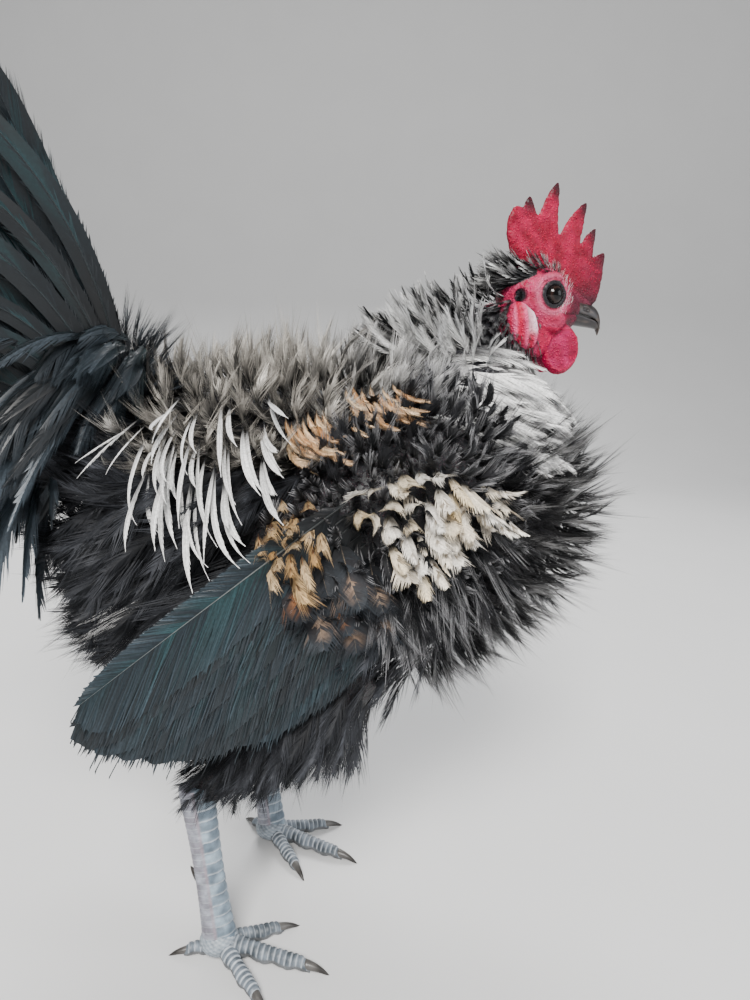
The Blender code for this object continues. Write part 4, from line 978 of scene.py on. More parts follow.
def face_map(points):
    """Where points lie on the bare head: its own directions, and how far they are from each feature."""
    ahead, out, above = head_own(points)
    x, z = points[:, 0] / MM, points[:, 2] / MM
    turn = math.radians(LOBE_TURN)
    a, b = ahead - LOBE[0], above - LOBE[1]
    across = (a * math.cos(turn) + b * math.sin(turn)) / LOBE_SIZE[0]
    along = (b * math.cos(turn) - a * math.sin(turn)) / LOBE_SIZE[1]
    return SimpleNamespace(
        ahead=ahead, side=np.sign(out), out=np.abs(out), above=above, x=x, z=z, across=across, along=along,
        ring=np.hypot((ahead - EYE[0]) / LID_STRETCH, above - EYE[2]),
        ear=np.hypot((ahead - EAR[0]) / EAR_SIZE[0], (above - EAR[2]) / EAR_SIZE[1]),
        lobe=(np.hypot(across, along) < 1.03) & (np.abs(out) > 15.3),
        folds=np.cos(across * LOBE_FOLDS * np.pi / LOBE_SPAN),
        disc=np.hypot((x - WATTLE[0]) / WATTLE_SIZE[0], (z - WATTLE[2]) / WATTLE_SIZE[2]),
    )


def sculpt_head(points):
    """Sinks the sockets and ears, and raises wrinkles, lobe folds and wattle rims."""
    face = face_map(points)
    near = face.out > 8
    push = near * -9.0 * (1 - ramp(face.ring, 4.5, 5.0)) * (face.ring < 5)
    push -= near * 0.8 * bell(face.ring, 8.3, 0.6)
    for radius, height in EYE_WRINKLES:
        push += near * height * bell(face.ring, radius, 0.6)
    push -= near * 2.6 * (1 - ramp(face.ear, 0.55, 1.1))
    push += face.lobe * 0.7 * face.folds
    wattle = (face.out > 8.4) & (face.z < 340) & (face.disc < 1.1)
    push += wattle * (0.9 * bell(face.disc, 0.82, 0.09) - 0.7 * (1 - ramp(face.disc, 0.3, 0.7)))
    mouth = np.abs(face.above + 1.4 + 0.30 * np.maximum(24 - face.ahead, 0))
    push -= (face.ahead > 12) * (face.out > 3) * 1.2 * bell(mouth, 0, 0.8) * ramp(face.ahead, 12, 17)
    made = points.copy()
    made[:, 1] += face.side * push * MM
    return made


def lumps(points, facing, size, height, seed):
    return points + facing * (wobble(points, size * MM, seed) * height * MM)[:, None]


def head_colours(points):
    """Crimson skin with darker points on the comb, pale lobes and grey lids, with painted shade over the
    comb's front, in the ear openings and round the beak's root, and painted shade on the skin under the
    feathers.
    """
    face = face_map(points)
    grain = wobble(points, 6 * MM, 3.1)
    colour = mix(*FACE_RED, ramp(grain, -0.6, 0.8))
    comb = (face.out < 5) & (face.above > 17.5 - 0.35 * np.maximum(face.ahead - 8, 0))
    colour = np.where(comb[:, None], mix(*COMB_RED, ramp(grain, -0.7, 0.7)), colour)
    tips = np.array(COMB_TIPS)
    apart = np.hypot(face.x[:, None] - tips[:, 0], 0.7 * (face.z[:, None] - tips[:, 1])).min(1)
    colour = mix(colour, COMB_TIP, comb * (1 - ramp(apart, 2.5, 9)) * 0.92)
    # Painted shade, darker towards the comb's front.
    colour = mix(colour, COMB_SHADE, comb * ramp(face.ahead - 0.15 * face.above, 8, 34) * 0.7)
    side = face.out > 9
    colour = mix(colour, EYE_RING, side * 0.4 * bell(face.ring, 9.8, 1.8))
    colour = mix(colour, LID_GREY, (face.out > 8) * (1 - ramp(face.ring, 7.3, 8.0)))
    stripe = 0.5 + 0.5 * face.folds
    white = ramp(face.across, 0.0, 0.35) * ramp(face.along, -0.5, 0.0) * (0.55 + 0.45 * stripe)
    lobe = mix(mix(*LOBE_RED, stripe**2 * 0.8), LOBE_WHITE, np.clip(white, 0, 1) * 0.85)
    colour = np.where(face.lobe[:, None], lobe, colour)
    red = mix(mix(*WATTLE_RED, ramp(grain, -0.6, 0.6)), WATTLE_RIM, ramp(face.disc, 0.72, 0.86))
    colour = np.where(((face.z < 338) & (face.x > 160))[:, None], red, colour)
    # Painted shade in the sunken ear opening.
    colour = mix(colour, EAR_HOLE_SHADE, side * (1 - ramp(face.ear, 0.7, 1.15)))
    # Painted shade on the face round the beak's root.
    front = ramp(face.ahead, 12, 24) * (1 - ramp(face.above, 6, 20)) * ramp(face.above, -12, -6)
    return mix(colour, BEAK_ROOT_SHADE, front * 0.85)


def body_parts():
    """Closed pieces of the body under the coat, to be melted into one skin."""
    parts = [
        new_object("trunk", *Loft(TORSO).grid(60, 60, -COAT_DEPTH * MM)),
        new_object("throat", *Loft(NECK).grid(40, 40, -4 * MM)),
        ellipsoid("rump", TAIL_CENTRE, tuple(s - 5 for s in TAIL_SIZE), TAIL_SLOPE),
    ]
    for name, side in SIDES:
        lateral, rows = THIGHS[name]
        parts.append(new_object("drum", *Loft(rows, lateral).grid(30, 30, -2.5 * MM)))
        centre = (WING_CENTRE[0], side * (WING_CENTRE[1] - 2), WING_CENTRE[2])
        parts.append(ellipsoid("arm", centre, tuple(s - 6 for s in WING_SIZE), -WING_SLOPE, side * 3))
    return parts


def melted_skin():
    """One closed skin: the finely built head joined to the body under the coat."""
    head = remesh(join_meshes("head_skin", head_parts()), 0.62 * MM, 2)
    points, facing = places(head), read_vectors(head, "normal")
    move_to(head, sculpt_head(lumps(lumps(points, facing, 5, 0.22, 1.7), facing, 1.7, 0.16, 5.3)))
    body = remesh(join_meshes("body_skin", body_parts()), 2.6 * MM, 3)
    union = body.modifiers.new("join", "BOOLEAN")
    union.operation, union.solver, union.object = "UNION", "MANIFOLD", head
    skin = apply_modifiers(body)
    bpy.data.objects.remove(head)
    skin.name = skin.data.name = "skin"
    skin.data.shade_smooth()
    return skin


def brow(ahead):
    """The height at which feathers begin above the bare face."""
    return 13.6 + np.where(ahead < -5, 0.84, 0.1) * (ahead + 5)


def is_bare(points):
    """Where the head carries no feathers, from 0 to 1."""
    face = face_map(points)
    front = ramp(face.ahead, -21, -20) * (face.above > -24)
    crown = (face.above > brow(face.ahead)) & (face.ahead < 12) & (face.out > 3)
    comb = (face.out < 5.2) & (face.above > 16.5)
    wattle = (face.z < 345) & (face.x > 152) & (face.disc < 1.12) | (face.ahead > -7) & (face.above > -31)
    return np.clip(front * ~crown + comb + face.lobe + wattle, 0, 1)


def skin_piece(material):
    skin = melted_skin()
    points = places(skin)
    # Painted shade on the skin wherever the feathers cover it.
    return finished(skin, mix(SKIN_IN_SHADE, head_colours(points), is_bare(points)), material)


def eyeball(name, side, material):
    """A ball with a dark iris round a black pupil, turned outwards and a little ahead."""
    gaze = unit(np.array([0.20, side, 0.03]))
    polar, around, _ = ball_grid(40, 48, 0.001)
    up = unit(np.cross(gaze, np.array([1.0, 0, 0])))
    across = np.cross(up, gaze)
    radius = EYE_RADIUS * MM * (1 + 0.045 * bell(polar, 0, 0.55))
    ring = across * np.cos(around)[..., None] + up * np.sin(around)[..., None]
    ball = gaze * np.cos(polar)[..., None] + ring * np.sin(polar)[..., None]
    made = new_object(name, *tube_faces(eye_centre(side) + radius[..., None] * ball))
    colour = mix(PUPIL, IRIS, ramp(polar.ravel(), 0.5, 0.6))
    return finished(made, mix(colour, IRIS_RIM, ramp(polar.ravel(), 0.72, 0.86)), material)


def beak_piece(name, rows, material):
    made = new_object(name, *head_loft(rows, 2.05).grid(60, 48))
    points = places(made)
    ahead, out, above = head_own(points)
    ridge = 0.5 * bell(out, 0, 1.6) * (above > 3)
    hole = np.hypot((ahead - 32.5) / 2.3, (above - 3.6) / 1.0)
    sink = (name == "beak_top") * (np.abs(out) > 2) * 1.5 * (1 - ramp(hole, 0.5, 1.2))
    points[:, 2] += ridge * MM
    points[:, 1] -= np.sign(out) * sink * MM
    move_to(made, points)
    streak = wobble(points * np.array([0.25, 1, 1]), 1.6 * MM, 8.0)
    colour = mix(BEAK_DARK, BEAK_TIP, ramp(ahead, 41, 51) * 0.8)
    return finished(made, mix(colour, BEAK_STREAK, ramp(streak, 0.1, 0.9) * 0.5), material)


def scute(along, pitch, offset):
    """Overlapping plates along a limb: the height and the nearness of the lower edge, both from 0 to 1."""
    phase = (along / pitch + offset) % 1.0
    return ramp(phase, 0.0, 0.5) * (1 - ramp(phase, 0.84, 0.99)), bell(phase, 0.9, 0.1)


def shank_tube(name):
    """Rings and colours of the shank, with plates in front and behind and small scales between, whose pale
    outlines are partly their own colour and partly painted highlight.
    """
    hock, ankle = (np.array(place) * MM for place in FEET[name][:2])
    axis = unit(ankle - hock)
    front = unit(np.array([1.0, 0, 0]) - axis * axis[0])
    across = np.cross(axis, front)
    share, turn = ring_grid(-0.12, 1, 260, 72)
    toward, lateral = np.cos(turn), np.sin(turn)
    waist = 1 - 0.16 * np.sin(np.pi * np.clip(share * 1.05, 0, 1)) ** 0.8
    along = share * np.linalg.norm(ankle - hock) / MM + 0.6 * np.abs(lateral) * 2
    row = (lateral > 0) * 0.5
    before, behind = ramp(toward, -0.25, -0.1), ramp(-toward, 0.3, 0.45)
    side = np.clip(1 - before - behind, 0, 1)
    height, edge = scute(along, 6.2, row)
    small, small_edge = scute(along, 3.6, row)
    beads = 0.5 + 0.5 * np.sin(along * 2.4 + 3 * np.sin(turn * 5)) * np.sin(turn * 16)
    seam = bell(lateral, 0, 0.09) * before
    relief = 0.75 * height * before + 0.5 * small * behind + 0.35 * beads * side - 0.7 * seam
    reach = ((7.0 + 1.3 * np.abs(toward)) * waist + relief)[..., None] * MM
    centre = hock + (ankle - hock) * share[..., None]
    rings = centre + front * reach * toward[..., None] + across * reach * 0.86 * lateral[..., None]
    tone = mix(*SHANK_BLUE, ramp(wobble(rings.reshape(-1, 3), 7 * MM, 2.2), -0.7, 0.7))
    tone = mix(tone, SHANK_PINK, (np.clip(side + behind * 0.6, 0, 1) * 0.55).ravel())
    # Paler outlines of the plates: partly the scales' own colour and partly painted highlight.
    line = np.clip(edge * before + small_edge * behind * 0.7 + seam, 0, 1).ravel()
    return rings, mix(tone, SHANK_OUTLINE_AND_HIGHLIGHT, line * 0.85)


def heading_of(toward):
    return np.array([math.cos(toward), math.sin(toward), 0])


def toe_tube(ankle, toward, length, radius):
    """Rings and colours of a toe that lies along the floor, with plates above and pads below, a painted
    highlight on the plates' edges and painted shade underneath.
    """
    ahead = heading_of(toward)
    across = np.array([-ahead[1], ahead[0], 0])
    share, turn = ring_grid(0, 1, 150, 40)
    up = np.sin(turn)
    along = share * length
    bones = max(2, round(length / 14))
    joints = 1 + 0.09 * np.cos(share * 2 * np.pi * bones)
    taper = np.sqrt(np.clip(1 - ((share - 0.86) / 0.14) ** 2, 0.2, 1))
    slim = (1.0 - 0.3 * share) * np.where(share > 0.86, taper, 1)
    height, edge = scute(along, 3.0, 0.0)
    above = ramp(up, -0.15, 0.15)
    pads = 0.5 * np.abs(np.sin(along * 0.5)) * (up < -0.2)
    reach = radius * slim * joints + 0.6 * height * above + pads
    centre = np.array([ankle[0], ankle[1], 0]) + ahead * ((along - 2) * MM)[..., None]
    knuckles = 0.8 * np.sin(share * np.pi * bones) ** 2
    centre[..., 2] = (radius * slim * 0.88 + (1 - share) ** 2 * 3.2 + knuckles) * MM
    rings = centre + across * (reach * 0.95 * np.cos(turn) * MM)[..., None]
    rings[..., 2] = np.maximum(rings[..., 2] + reach * up * MM, 0.15 * MM)
    tone = mix(*TOE_BLUE, ramp(wobble(rings.reshape(-1, 3), 5 * MM, 4.4), -0.7, 0.7))
    # Painted highlight on the plates' edges.
    tone = mix(tone, TOE_EDGE_HIGHLIGHT, (edge * above).ravel() * 0.8)
    # Painted shade on the toe's underside.
    return rings, mix(tone, TOE_UNDER_SHADE, (1 - above).ravel() * 0.7)


def foot_pad(ankle):
    polar, around, _ = ball_grid(40, 60)
    bumps = 0.35 * np.sin(polar * 22) * np.sin(around * 14)
    long, wide, high = (size + bumps for size in PAD_SIZE)
    x, y = long * np.sin(polar) * np.cos(around), wide * np.sin(polar) * np.sin(around)
    ball = np.stack([x, y, high * np.cos(polar)], -1)
    rings = ankle * np.array([1, 1, 0]) + (ball + np.array([0, 0, PAD_ABOVE])) * MM
    return rings, mix(*PAD_BLUE, ramp(bumps.ravel(), -0.2, 0.3))


def leg_piece(name, side, material):
    """The scaled shank, the pad of the foot and the toes."""
    ankle = np.array(FEET[name][1]) * MM
    tubes = [shank_tube(name)]
    for turn, length, radius in TOES.values():
        tubes.append(toe_tube(ankle, math.radians(FEET[name][2] + side * turn), length, radius))
    tubes.append(foot_pad(ankle))
    return tube_object("leg_" + name + "_scaled", tubes, material)


def tube_object(name, tubes, material):
    """One mesh of several closed tubes, each given as rings and colours."""
    verts, faces, total = [], [], 0
    for rings, _ in tubes:
        points, sides = tube_faces(rings)
        verts.append(points)
        faces += [tuple(i + total for i in f) for f in sides]
        total += len(points)
    colours = np.concatenate([colour for _, colour in tubes])
    return finished(new_object(name, np.concatenate(verts), faces), colours, material)


def horn_tube(root, heading, droop, length, radius, bend=50, floor=None):
    """Rings and colours of a tapered curved point, dark at its tip."""
    heading, down = unit(np.array(heading, float)), unit(np.array(droop, float))
    across = unit(np.cross(heading, down))
    share = np.linspace(0, 1, HORN_RINGS)
    angle = np.radians(bend) * share
    ahead = heading * np.cos(angle)[:, None] + down * np.sin(angle)[:, None]
    line = root + np.concatenate([np.zeros((1, 3)), np.cumsum(ahead[:-1], 0) * length / (HORN_RINGS - 1)])
    third = np.cross(across, ahead)
    reach = (radius * (1 - share) ** 0.75 + 0.0001)[:, None, None]
    turn = circle(HORN_RINGS)[:, None]
    rings = line[:, None] + reach * (across * np.cos(turn) + third[:, None] * np.sin(turn))
    if floor is not None:
        rings[..., 2] = np.maximum(rings[..., 2], floor)
    return rings, mix(HORN_GREY, HORN_TIP, ramp(np.repeat(share, HORN_RINGS), 0.1, 0.7))


def claw_piece(material):
    """All claws and both spurs as one mesh of closed points."""
    tubes = []
    for name, side in SIDES:
        hock, ankle, heading = FEET[name]
        hock, ankle = np.array(hock) * MM, np.array(ankle) * MM
        for toe, (turn, length, radius) in TOES.items():
            ahead = heading_of(math.radians(heading + side * turn))
            root = np.array([ankle[0], ankle[1], 0]) + ahead * (length - 5) * MM
            root[2] = radius * 0.72 * MM
            long = 14 if toe != "hind" else 11.5
            tubes.append(horn_tube(root, ahead, (0, 0, -1), long * MM, radius * 0.56 * MM, 34, 0.2 * MM))
        backward = unit(np.array([-0.65, -side * 0.75, 0.0]))
        place = hock + (ankle - hock) * 0.62 + backward * 4 * MM
        tubes.append(horn_tube(place, backward, (0, 0, 1), 13 * MM, 3.4 * MM))
    return tube_object("claws_and_spurs", tubes, material)


def wing_point(u, v, side, lift=0.0):
    """A point on the outside of the folded wing: u runs back along it and v up across it, in millimetres."""
    slope = math.radians(WING_SLOPE)
    x = WING_CENTRE[0] - u * math.cos(slope) - v * math.sin(slope)
    z = WING_CENTRE[2] - u * math.sin(slope) + v * math.cos(slope)
    y = 86 + 11 * np.exp(-((u / 62) ** 2) - ((v / 34) ** 2)) + lift
    y = y - 34 * ramp(v, 8, 62) - 22 * ramp(-u, 22, 70)
    return np.stack([x, side * y, z], -1) * MM


def wing_seats(u, v, side, lie, lift):
    """Seats on the wing from arrays of u and v. lie is given as (back along the wing, up across it)."""
    root = wing_point(u, v, side, lift)
    du = wing_point(u + 1, v, side, lift) - root
    dv = wing_point(u, v + 1, side, lift) - root
    out = unit(np.cross(du, dv))
    out = np.where(out[:, 1:2] * side < 0, -out, out)
    along = unit(du) * lie[0] + unit(dv) * lie[1]
    return Seats(root, along, out, np.stack([(u + 80) / 260, (v + 80) / 160], -1))


def wing_spots(zone, spacing, rng):
    """Arrays of u and v spread over an outline on the wing."""
    spots = rng.uniform(-70, 70, (6000, 2))
    spots = spots[distance_inside(spots, np.array(zone, float)) > 0]
    kept = thin_out(np.column_stack([spots, 0 * spots[:, 0]]), np.full(len(spots), float(spacing)))
    return spots[kept].T


def flights(name, side, material):
    """Flight feathers from the top one inwards, each with a narrow upper vane and a long loose lower one."""
    count = 12
    share = np.linspace(0, 1, count)
    tips = np.array(FLIGHT_TIPS, float)
    tip_x, tip_z = (np.interp(share, np.linspace(0, 1, len(tips)), column) for column in tips.T)
    roots = np.array(FLIGHT_ROOT_TOP) * (1 - share[:, None]) + np.array(FLIGHT_ROOT_LOW) * share[:, None]
    root = np.stack([roots[:, 0], side * (93 - 13 * share), roots[:, 1]], -1) * MM
    run = np.stack([tip_x, side * (95 - 14 * share), tip_z], -1) * MM - root
    out = np.broadcast_to(np.array([0, side, 0.0]), root.shape)
    seats = Seats(root, run, out, np.stack([0.3 + 0.5 * share, 0.2 + 0.6 * share], -1))
    body = mix(BLACK, BLUE_BLACK, np.random.default_rng(31).uniform(0.2, 1.3, count))
    # Teal streaks are painted sheen, and the paler slate edges are a painted highlight that sets each feather
    # apart.
    tones = toned(body, edge=mix(body, SLATE, 0.2), streak=mix(body, TEAL_SHEEN, 0.8), streaks=0.45,
                  stem=QUILL_GREY)
    return grow("flights_" + name, seats, QUILL, tones, material, np.linalg.norm(run, axis=-1) / MM * 0.94,
                46 - 8 * share, 1.5, 2, side * -2, wild=1.0, lead_side=-side)


def spotted_tones(count, rng):
    # A little slate in each covert's body is painted slate-blue sheen.
    body = mix(mix(BLUE_BLACK, CHARCOAL, 0.6), SLATE, rng.uniform(0.0, 0.14, count))
    rust = mix(RUST, CREAM, rng.uniform(0, 0.45, count))
    spot = mix(body, rust, (rng.random(count) > 0.3) * rng.uniform(0.3, 0.9, count))
    return toned(body, streak=CHARCOAL, spot=spot, laced=0.8, stem=TAN)


def gold_tones(count, rng):
    gold = mix(*GOLDS, rng.uniform(0, 1, count))
    return toned(mix(gold, BLACK, 0.25), gold, mix(gold, RUST, 0.4), streak=BROWN, streaks=0.25, laced=0.4,
                 stem=RUST)


def cream_tones(count, rng):
    cream = mix(CREAM, WHITE, rng.uniform(0, 0.8, count))
    cream = mix(cream, STRAW, (rng.random(count) > 0.5) * rng.uniform(0.3, 0.8, count))
    return toned(mix(cream, WARM, 0.35), cream, cream, streak=UMBER, streaks=0.16, laced=0.6, stem=WARM)


def rust_tones(count, rng):
    body = mix(*RUSTS, rng.random(count))
    return toned(body, mix(body, CREAM, 0.3), mix(body, RUST, 0.3), streak=mix(body, RUST, 0.6), streaks=0.25)


def laced_tones(count, rng):
    black = mix(BLACK, CHARCOAL, rng.uniform(0, 0.7, count))
    laced = (rng.random((count, 1)) > 0.35) * 0.8
    return toned(black, edge=LACE, laced=laced, stem=SMOKE)


def wing_coat(name, side, material):
    """Laced curls all over the wing, with the spotted, gold, cream and rust groups on them."""
    # The lie is (back along the wing, up across it). Sizes are length, width, lean, curl and sway.
    tuft = (20, 3.6, 34, -22, -side * 80)
    groups = (
        ("wing_curls", LACED, laced_tones, WING_ZONE, 5.5, (0.6, -1), -5, (13, 8, 22, 90), 40),
        ("under_coverts", CURL, laced_tones, UNDER_ZONE, 5, (0.5, -1), -7, (22, 11, 14, 40), 20),
        ("greater_coverts", SPECKLED, spotted_tones, REAR_ZONE, 9.6, (0.25, -1), -1, (27, 22, 8, 26), 8),
        ("gold_coverts", TUFTED, gold_tones, GOLD_ZONE, 4.2, (0.3, -1), 2, (17, 8, 16, 40), 18),
        ("cream_coverts", PETAL, cream_tones, CREAM_ZONE, 5.8, (0.25, -1), 0, (16, 9.5, 24, 42), 24),
        ("wing_bow", TUFTED, laced_tones, BOW_ZONE, 4.4, (0.9, -0.6), 0, (13, 7.5, 30, 105), 34),
        ("rust_tuft_rear", HACKLE, rust_tones, RUST_REAR, 2.5, (0.6, -1), 4, tuft, 7),
        ("rust_tuft_front", HACKLE, rust_tones, RUST_FRONT, 2.5, (0.6, -1), 4, tuft, 7),
    )
    rng = np.random.default_rng(40 if side < 0 else 41)
    made = []
    for label, how, tones, zone, spacing, lie, lift, size, wild in groups:
        u, v = wing_spots(zone, spacing, rng)
        seats = wing_seats(u, v, side, lie, lift)
        made.append(grow(f"{label}_{name}", seats, how, tones(len(u), rng), material, *size, wild=wild))
    return made


def flow(back, out, up):
    """The way that feathers lie: so much to the rear, outwards and upwards."""

    def lie(points):
        side = np.sign(points[:, 1:2])
        return np.concatenate([np.full_like(side, -back), out * side, np.full_like(side, up)], -1)

    return lie


def clear_of_wing(spot):
    """Whether spots on the trunk lie outside the folded wing."""
    slope = math.radians(WING_SLOPE)
    dx, dz = spot.x - WING_CENTRE[0], spot.z - WING_CENTRE[2]
    u = -(dx * math.cos(slope) + dz * math.sin(slope))
    v = -dx * math.sin(slope) + dz * math.cos(slope)
    return ~((spot.out > 42) & (np.abs(u) < 54) & (np.abs(v) < 30))


def on_back(s):
    return (s.turn < 1.05) & (s.x > -44) & (s.x < 94) & clear_of_wing(s)


def on_cape(s):
    return (s.x >= 66) & (s.x < 122) & (s.z > 280) & (s.turn < 0.8)


def on_breast(s):
    return (s.x > 104) & ~((s.x < 122) & (s.turn < 1.3)) & clear_of_wing(s)


def on_flank(s):
    return (s.turn >= 0.95) & (s.x < 40) & (s.turn < 2.2) & clear_of_wing(s)


def on_belly(s):
    return (s.turn >= np.where(s.x < 40, 2.1, 1.45)) & (s.x < 108) & clear_of_wing(s)


def at_vent(s):
    return (s.x < -24) & (s.z < 246)


def at_tail_root(s):
    return (s.x < -38) & (s.z > 226)


def on_saddle(s):
    return (s.x < 6) & (s.x > -49) & (s.z > np.interp(s.x, (-60, -20, 6), (250, 250, 270))) & (s.turn > 0.6)


def cape_tones(seats, rng):
    return ruff_tones(seats, rng, 0.45)


def trunk_coat(material):
    """Frizzled feathers of the back and breast, loose fluff behind and below, and the saddle's blades."""
    # The way is to the rear, outwards and upwards. A size is length, width, lean and curl, or works them out.
    deep = -COAT_DEPTH
    coats = (
        ("back_wisps", WISP, back_tones, on_back, 4.4, (0.3, 6.9), (1, 0.3, 0), deep, back_size, 26, 0),
        ("cape_hackles", HACKLE, cape_tones, on_cape, 4.4, (4.0, 7.6), (-1, 0.25, -0.15), -5,
         (42, 8, 30, -4), 6, 0.3),
        ("breast_frizzles", CURL, breast_tones, on_breast, 4.6, (5.5, 8.99), (0.6, 0.15, -0.9), deep,
         (19, 10, 20, 90), 22, 0),
        ("flank_fluff", FLUFF, fluff_tones, on_flank, 5.0, (0.1, 4.4), (1, 0.2, -0.8), deep,
         (40, 12, 10, 16), 18, 0),
        ("belly_fluff", FLUFF, fluff_tones, on_belly, 5.6, (0.1, 6.5), (1, 0.1, -0.2), deep,
         (40, 13, 16, 26), 20, 0),
        ("vent_fluff", FLUFF, fluff_tones, at_vent, 3.8, (0.0, 2.6), (0.9, 0.25, -0.5), deep,
         (37, 13, 24, 6), 18, 0.4),
        ("tail_root_fluff", FLUFF, fluff_tones, at_tail_root, 4.0, (0.0, 2.6), (0.8, 0.3, 0.3), deep,
         tail_root_size, 22, 0),
    )
    rng = np.random.default_rng(50)
    torso = Loft(TORSO)
    made = []
    for name, how, tones, wanted, spacing, ends, way, lift, size, wild, droop in coats:
        seats = scatter(torso, rng, spacing, ends, flow(*way), wanted, lift)
        size = size(seats) if callable(size) else size
        made.append(grow(name, seats, how, tones(seats, rng), material, *size, wild=wild, droop=droop))
    return made + [saddle_blades(torso, rng, material)]


def back_size(seats):
    fore = ramp(seats.x, 10, 84)
    return 27 + 6 * fore, 11, 12 + 40 * fore, 96 - 26 * fore


def tail_root_size(seats):
    low = 1 - ramp(seats.z, 240, 262)
    return 30 + 6 * low, 12, 24 + 20 * low, 36 - 30 * low


def ruff_tones(seats, rng, white):
    """Silver and white hackles with black strands. white is the share of pale ones."""
    lot = rng.random(len(seats))
    pale = mix(SILVER, WHITE, 0.3 + 0.7 * rng.random(len(seats)))
    body = mix(pale, CHARCOAL, (lot > white) * 0.95)
    return toned(body, mix(body, pale, 0.7), mix(body, pale, 0.5), CHARCOAL, streak=INK, streaks=0.28,
                 stem=CHARCOAL)


def back_tones(seats, rng):
    """Dark feathers with pale wispy tips, silver towards the neck and white over the tail's root."""
    lot = rng.random(len(seats))
    silver = ramp(seats.x, 35, 85)
    body = mix(mix(*BACK_DARKS, (lot > 0.4) * lot), BLACK, silver * 0.7)
    tip = mix(mix(*BACK_TIPS, lot), SILVER, silver)
    tip = mix(tip, WHITE, ramp(-seats.x, 30, 55) * 0.7)
    return toned(body, tip, mix(body, tip, 0.5), stem=mix(body, tip, 0.4), streak=mix(body, tip, 0.7),
                 streaks=0.25, laced=0.5)


def breast_tones(seats, rng):
    lot = rng.random(len(seats))
    body = mix(BLACK, CHARCOAL, lot)
    return toned(body, mix(body, SILVER, (lot > 0.7) * 0.5), mix(body, SMOKE, 0.5), laced=0.5)


def fluff_tones(seats, rng):
    """Slate black, with one white patch low on each flank."""
    lot = rng.random(len(seats))
    body = mix(BLACK, FLUFF_DARK, lot)
    away = np.hypot((seats.x - WHITE_PATCH[0]) / WHITE_PATCH[2], (seats.z - WHITE_PATCH[1]) / WHITE_PATCH[2])
    white = (1 - ramp(away, 0.7, 1.15)) * (lot > 0.3)
    tip = mix(mix(body, FLUFF_TIP, lot), WHITE, white)
    return toned(body, tip, tip, streak=tip, streaks=0.35)


def saddle_blades(torso, rng, material):
    """Bunches of narrow blades that hang down each flank and hook forward at the tip."""
    seats = scatter(torso, rng, 9.6, (0.1, 5.0), flow(-0.1, 0.3, -1), on_saddle, 7)
    seats = seats.keep(np.repeat(np.arange(len(seats)), rng.integers(2, 5, len(seats))))
    seats.root += rng.normal(0, 1.8 * MM, seats.root.shape)
    count = len(seats)
    pale = mix(WHITE, SILVER, rng.uniform(0, 0.3, count))
    tones = toned(mix(pale, SMOKE, rng.uniform(0, 0.5, count)), WHITE, pale, laced=0.9, stem=SILVER)
    hook = rng.uniform(20, 52, count) * (1 - 0.7 * ramp(seats.z, 275, 300))
    sway = -np.sign(seats.root[:, 1]) * hook
    return grow("saddle_blades", seats, SADDLE, tones, material, 46, 2.5, 32, -6, sway, wild=6)


def ruff_top(x):
    """The height at which the ruff ends and the nape begins."""
    return np.interp(x, (90, 120, 132, 144, 152), (316, 309, 308, 312, 312))


def in_ruff(s):
    return (s.z > 276) & (s.z < ruff_top(s.x)) & (s.x > 90)


def on_nape(s):
    lobe = (s.out > 6) & (s.x > 124) & (s.z < 352)
    nape = (s.z >= ruff_top(s.x)) & (s.at < 4.95) & (s.x < 144) & ~lobe
    return nape * np.interp(s.z, (320, 350), (1, 0.7))


def by_the_lobe(s):
    return (s.out > 6) & (s.x > 124) & (s.z >= ruff_top(s.x) - 5) & (s.z < 352)


def on_throat(s):
    return (s.z <= 287) & (s.z > 225) & (s.at > 0.3)


def round_the_neck(points):
    """Forward and outwards, and the further forward the more so."""
    side = np.sign(points[:, 1:2])
    fore = ramp(points[:, 0:1] / MM, 84, 104)
    return np.concatenate([0.4 + 0.6 * fore, 0.2 * side, 0.05 - 0.15 * fore], -1)


def nape_tones(seats, rng):
    lot = rng.random(len(seats))
    under = 1 - ramp(seats.z, 310, 334)
    body = mix(mix(BLACK, CHARCOAL, lot * 0.7), WHITE, under * (lot > 0.25) * 0.85)
    tip = mix(SILVER, WHITE, lot)
    return toned(body, mix(body, tip, (lot > 0.45) * 0.8), tip, laced=(lot > 0.45)[:, None] * 0.6, streak=tip,
                 streaks=0.1)


def fringe_tones(seats, rng):
    lot = rng.random(len(seats))
    under = 1 - ramp(seats.z, 312, 330)
    body = mix(mix(BLACK, CHARCOAL, lot), WHITE, under * (lot > 0.35) * 0.9)
    return toned(body, mix(body, SILVER, 0.25), streak=CHARCOAL)


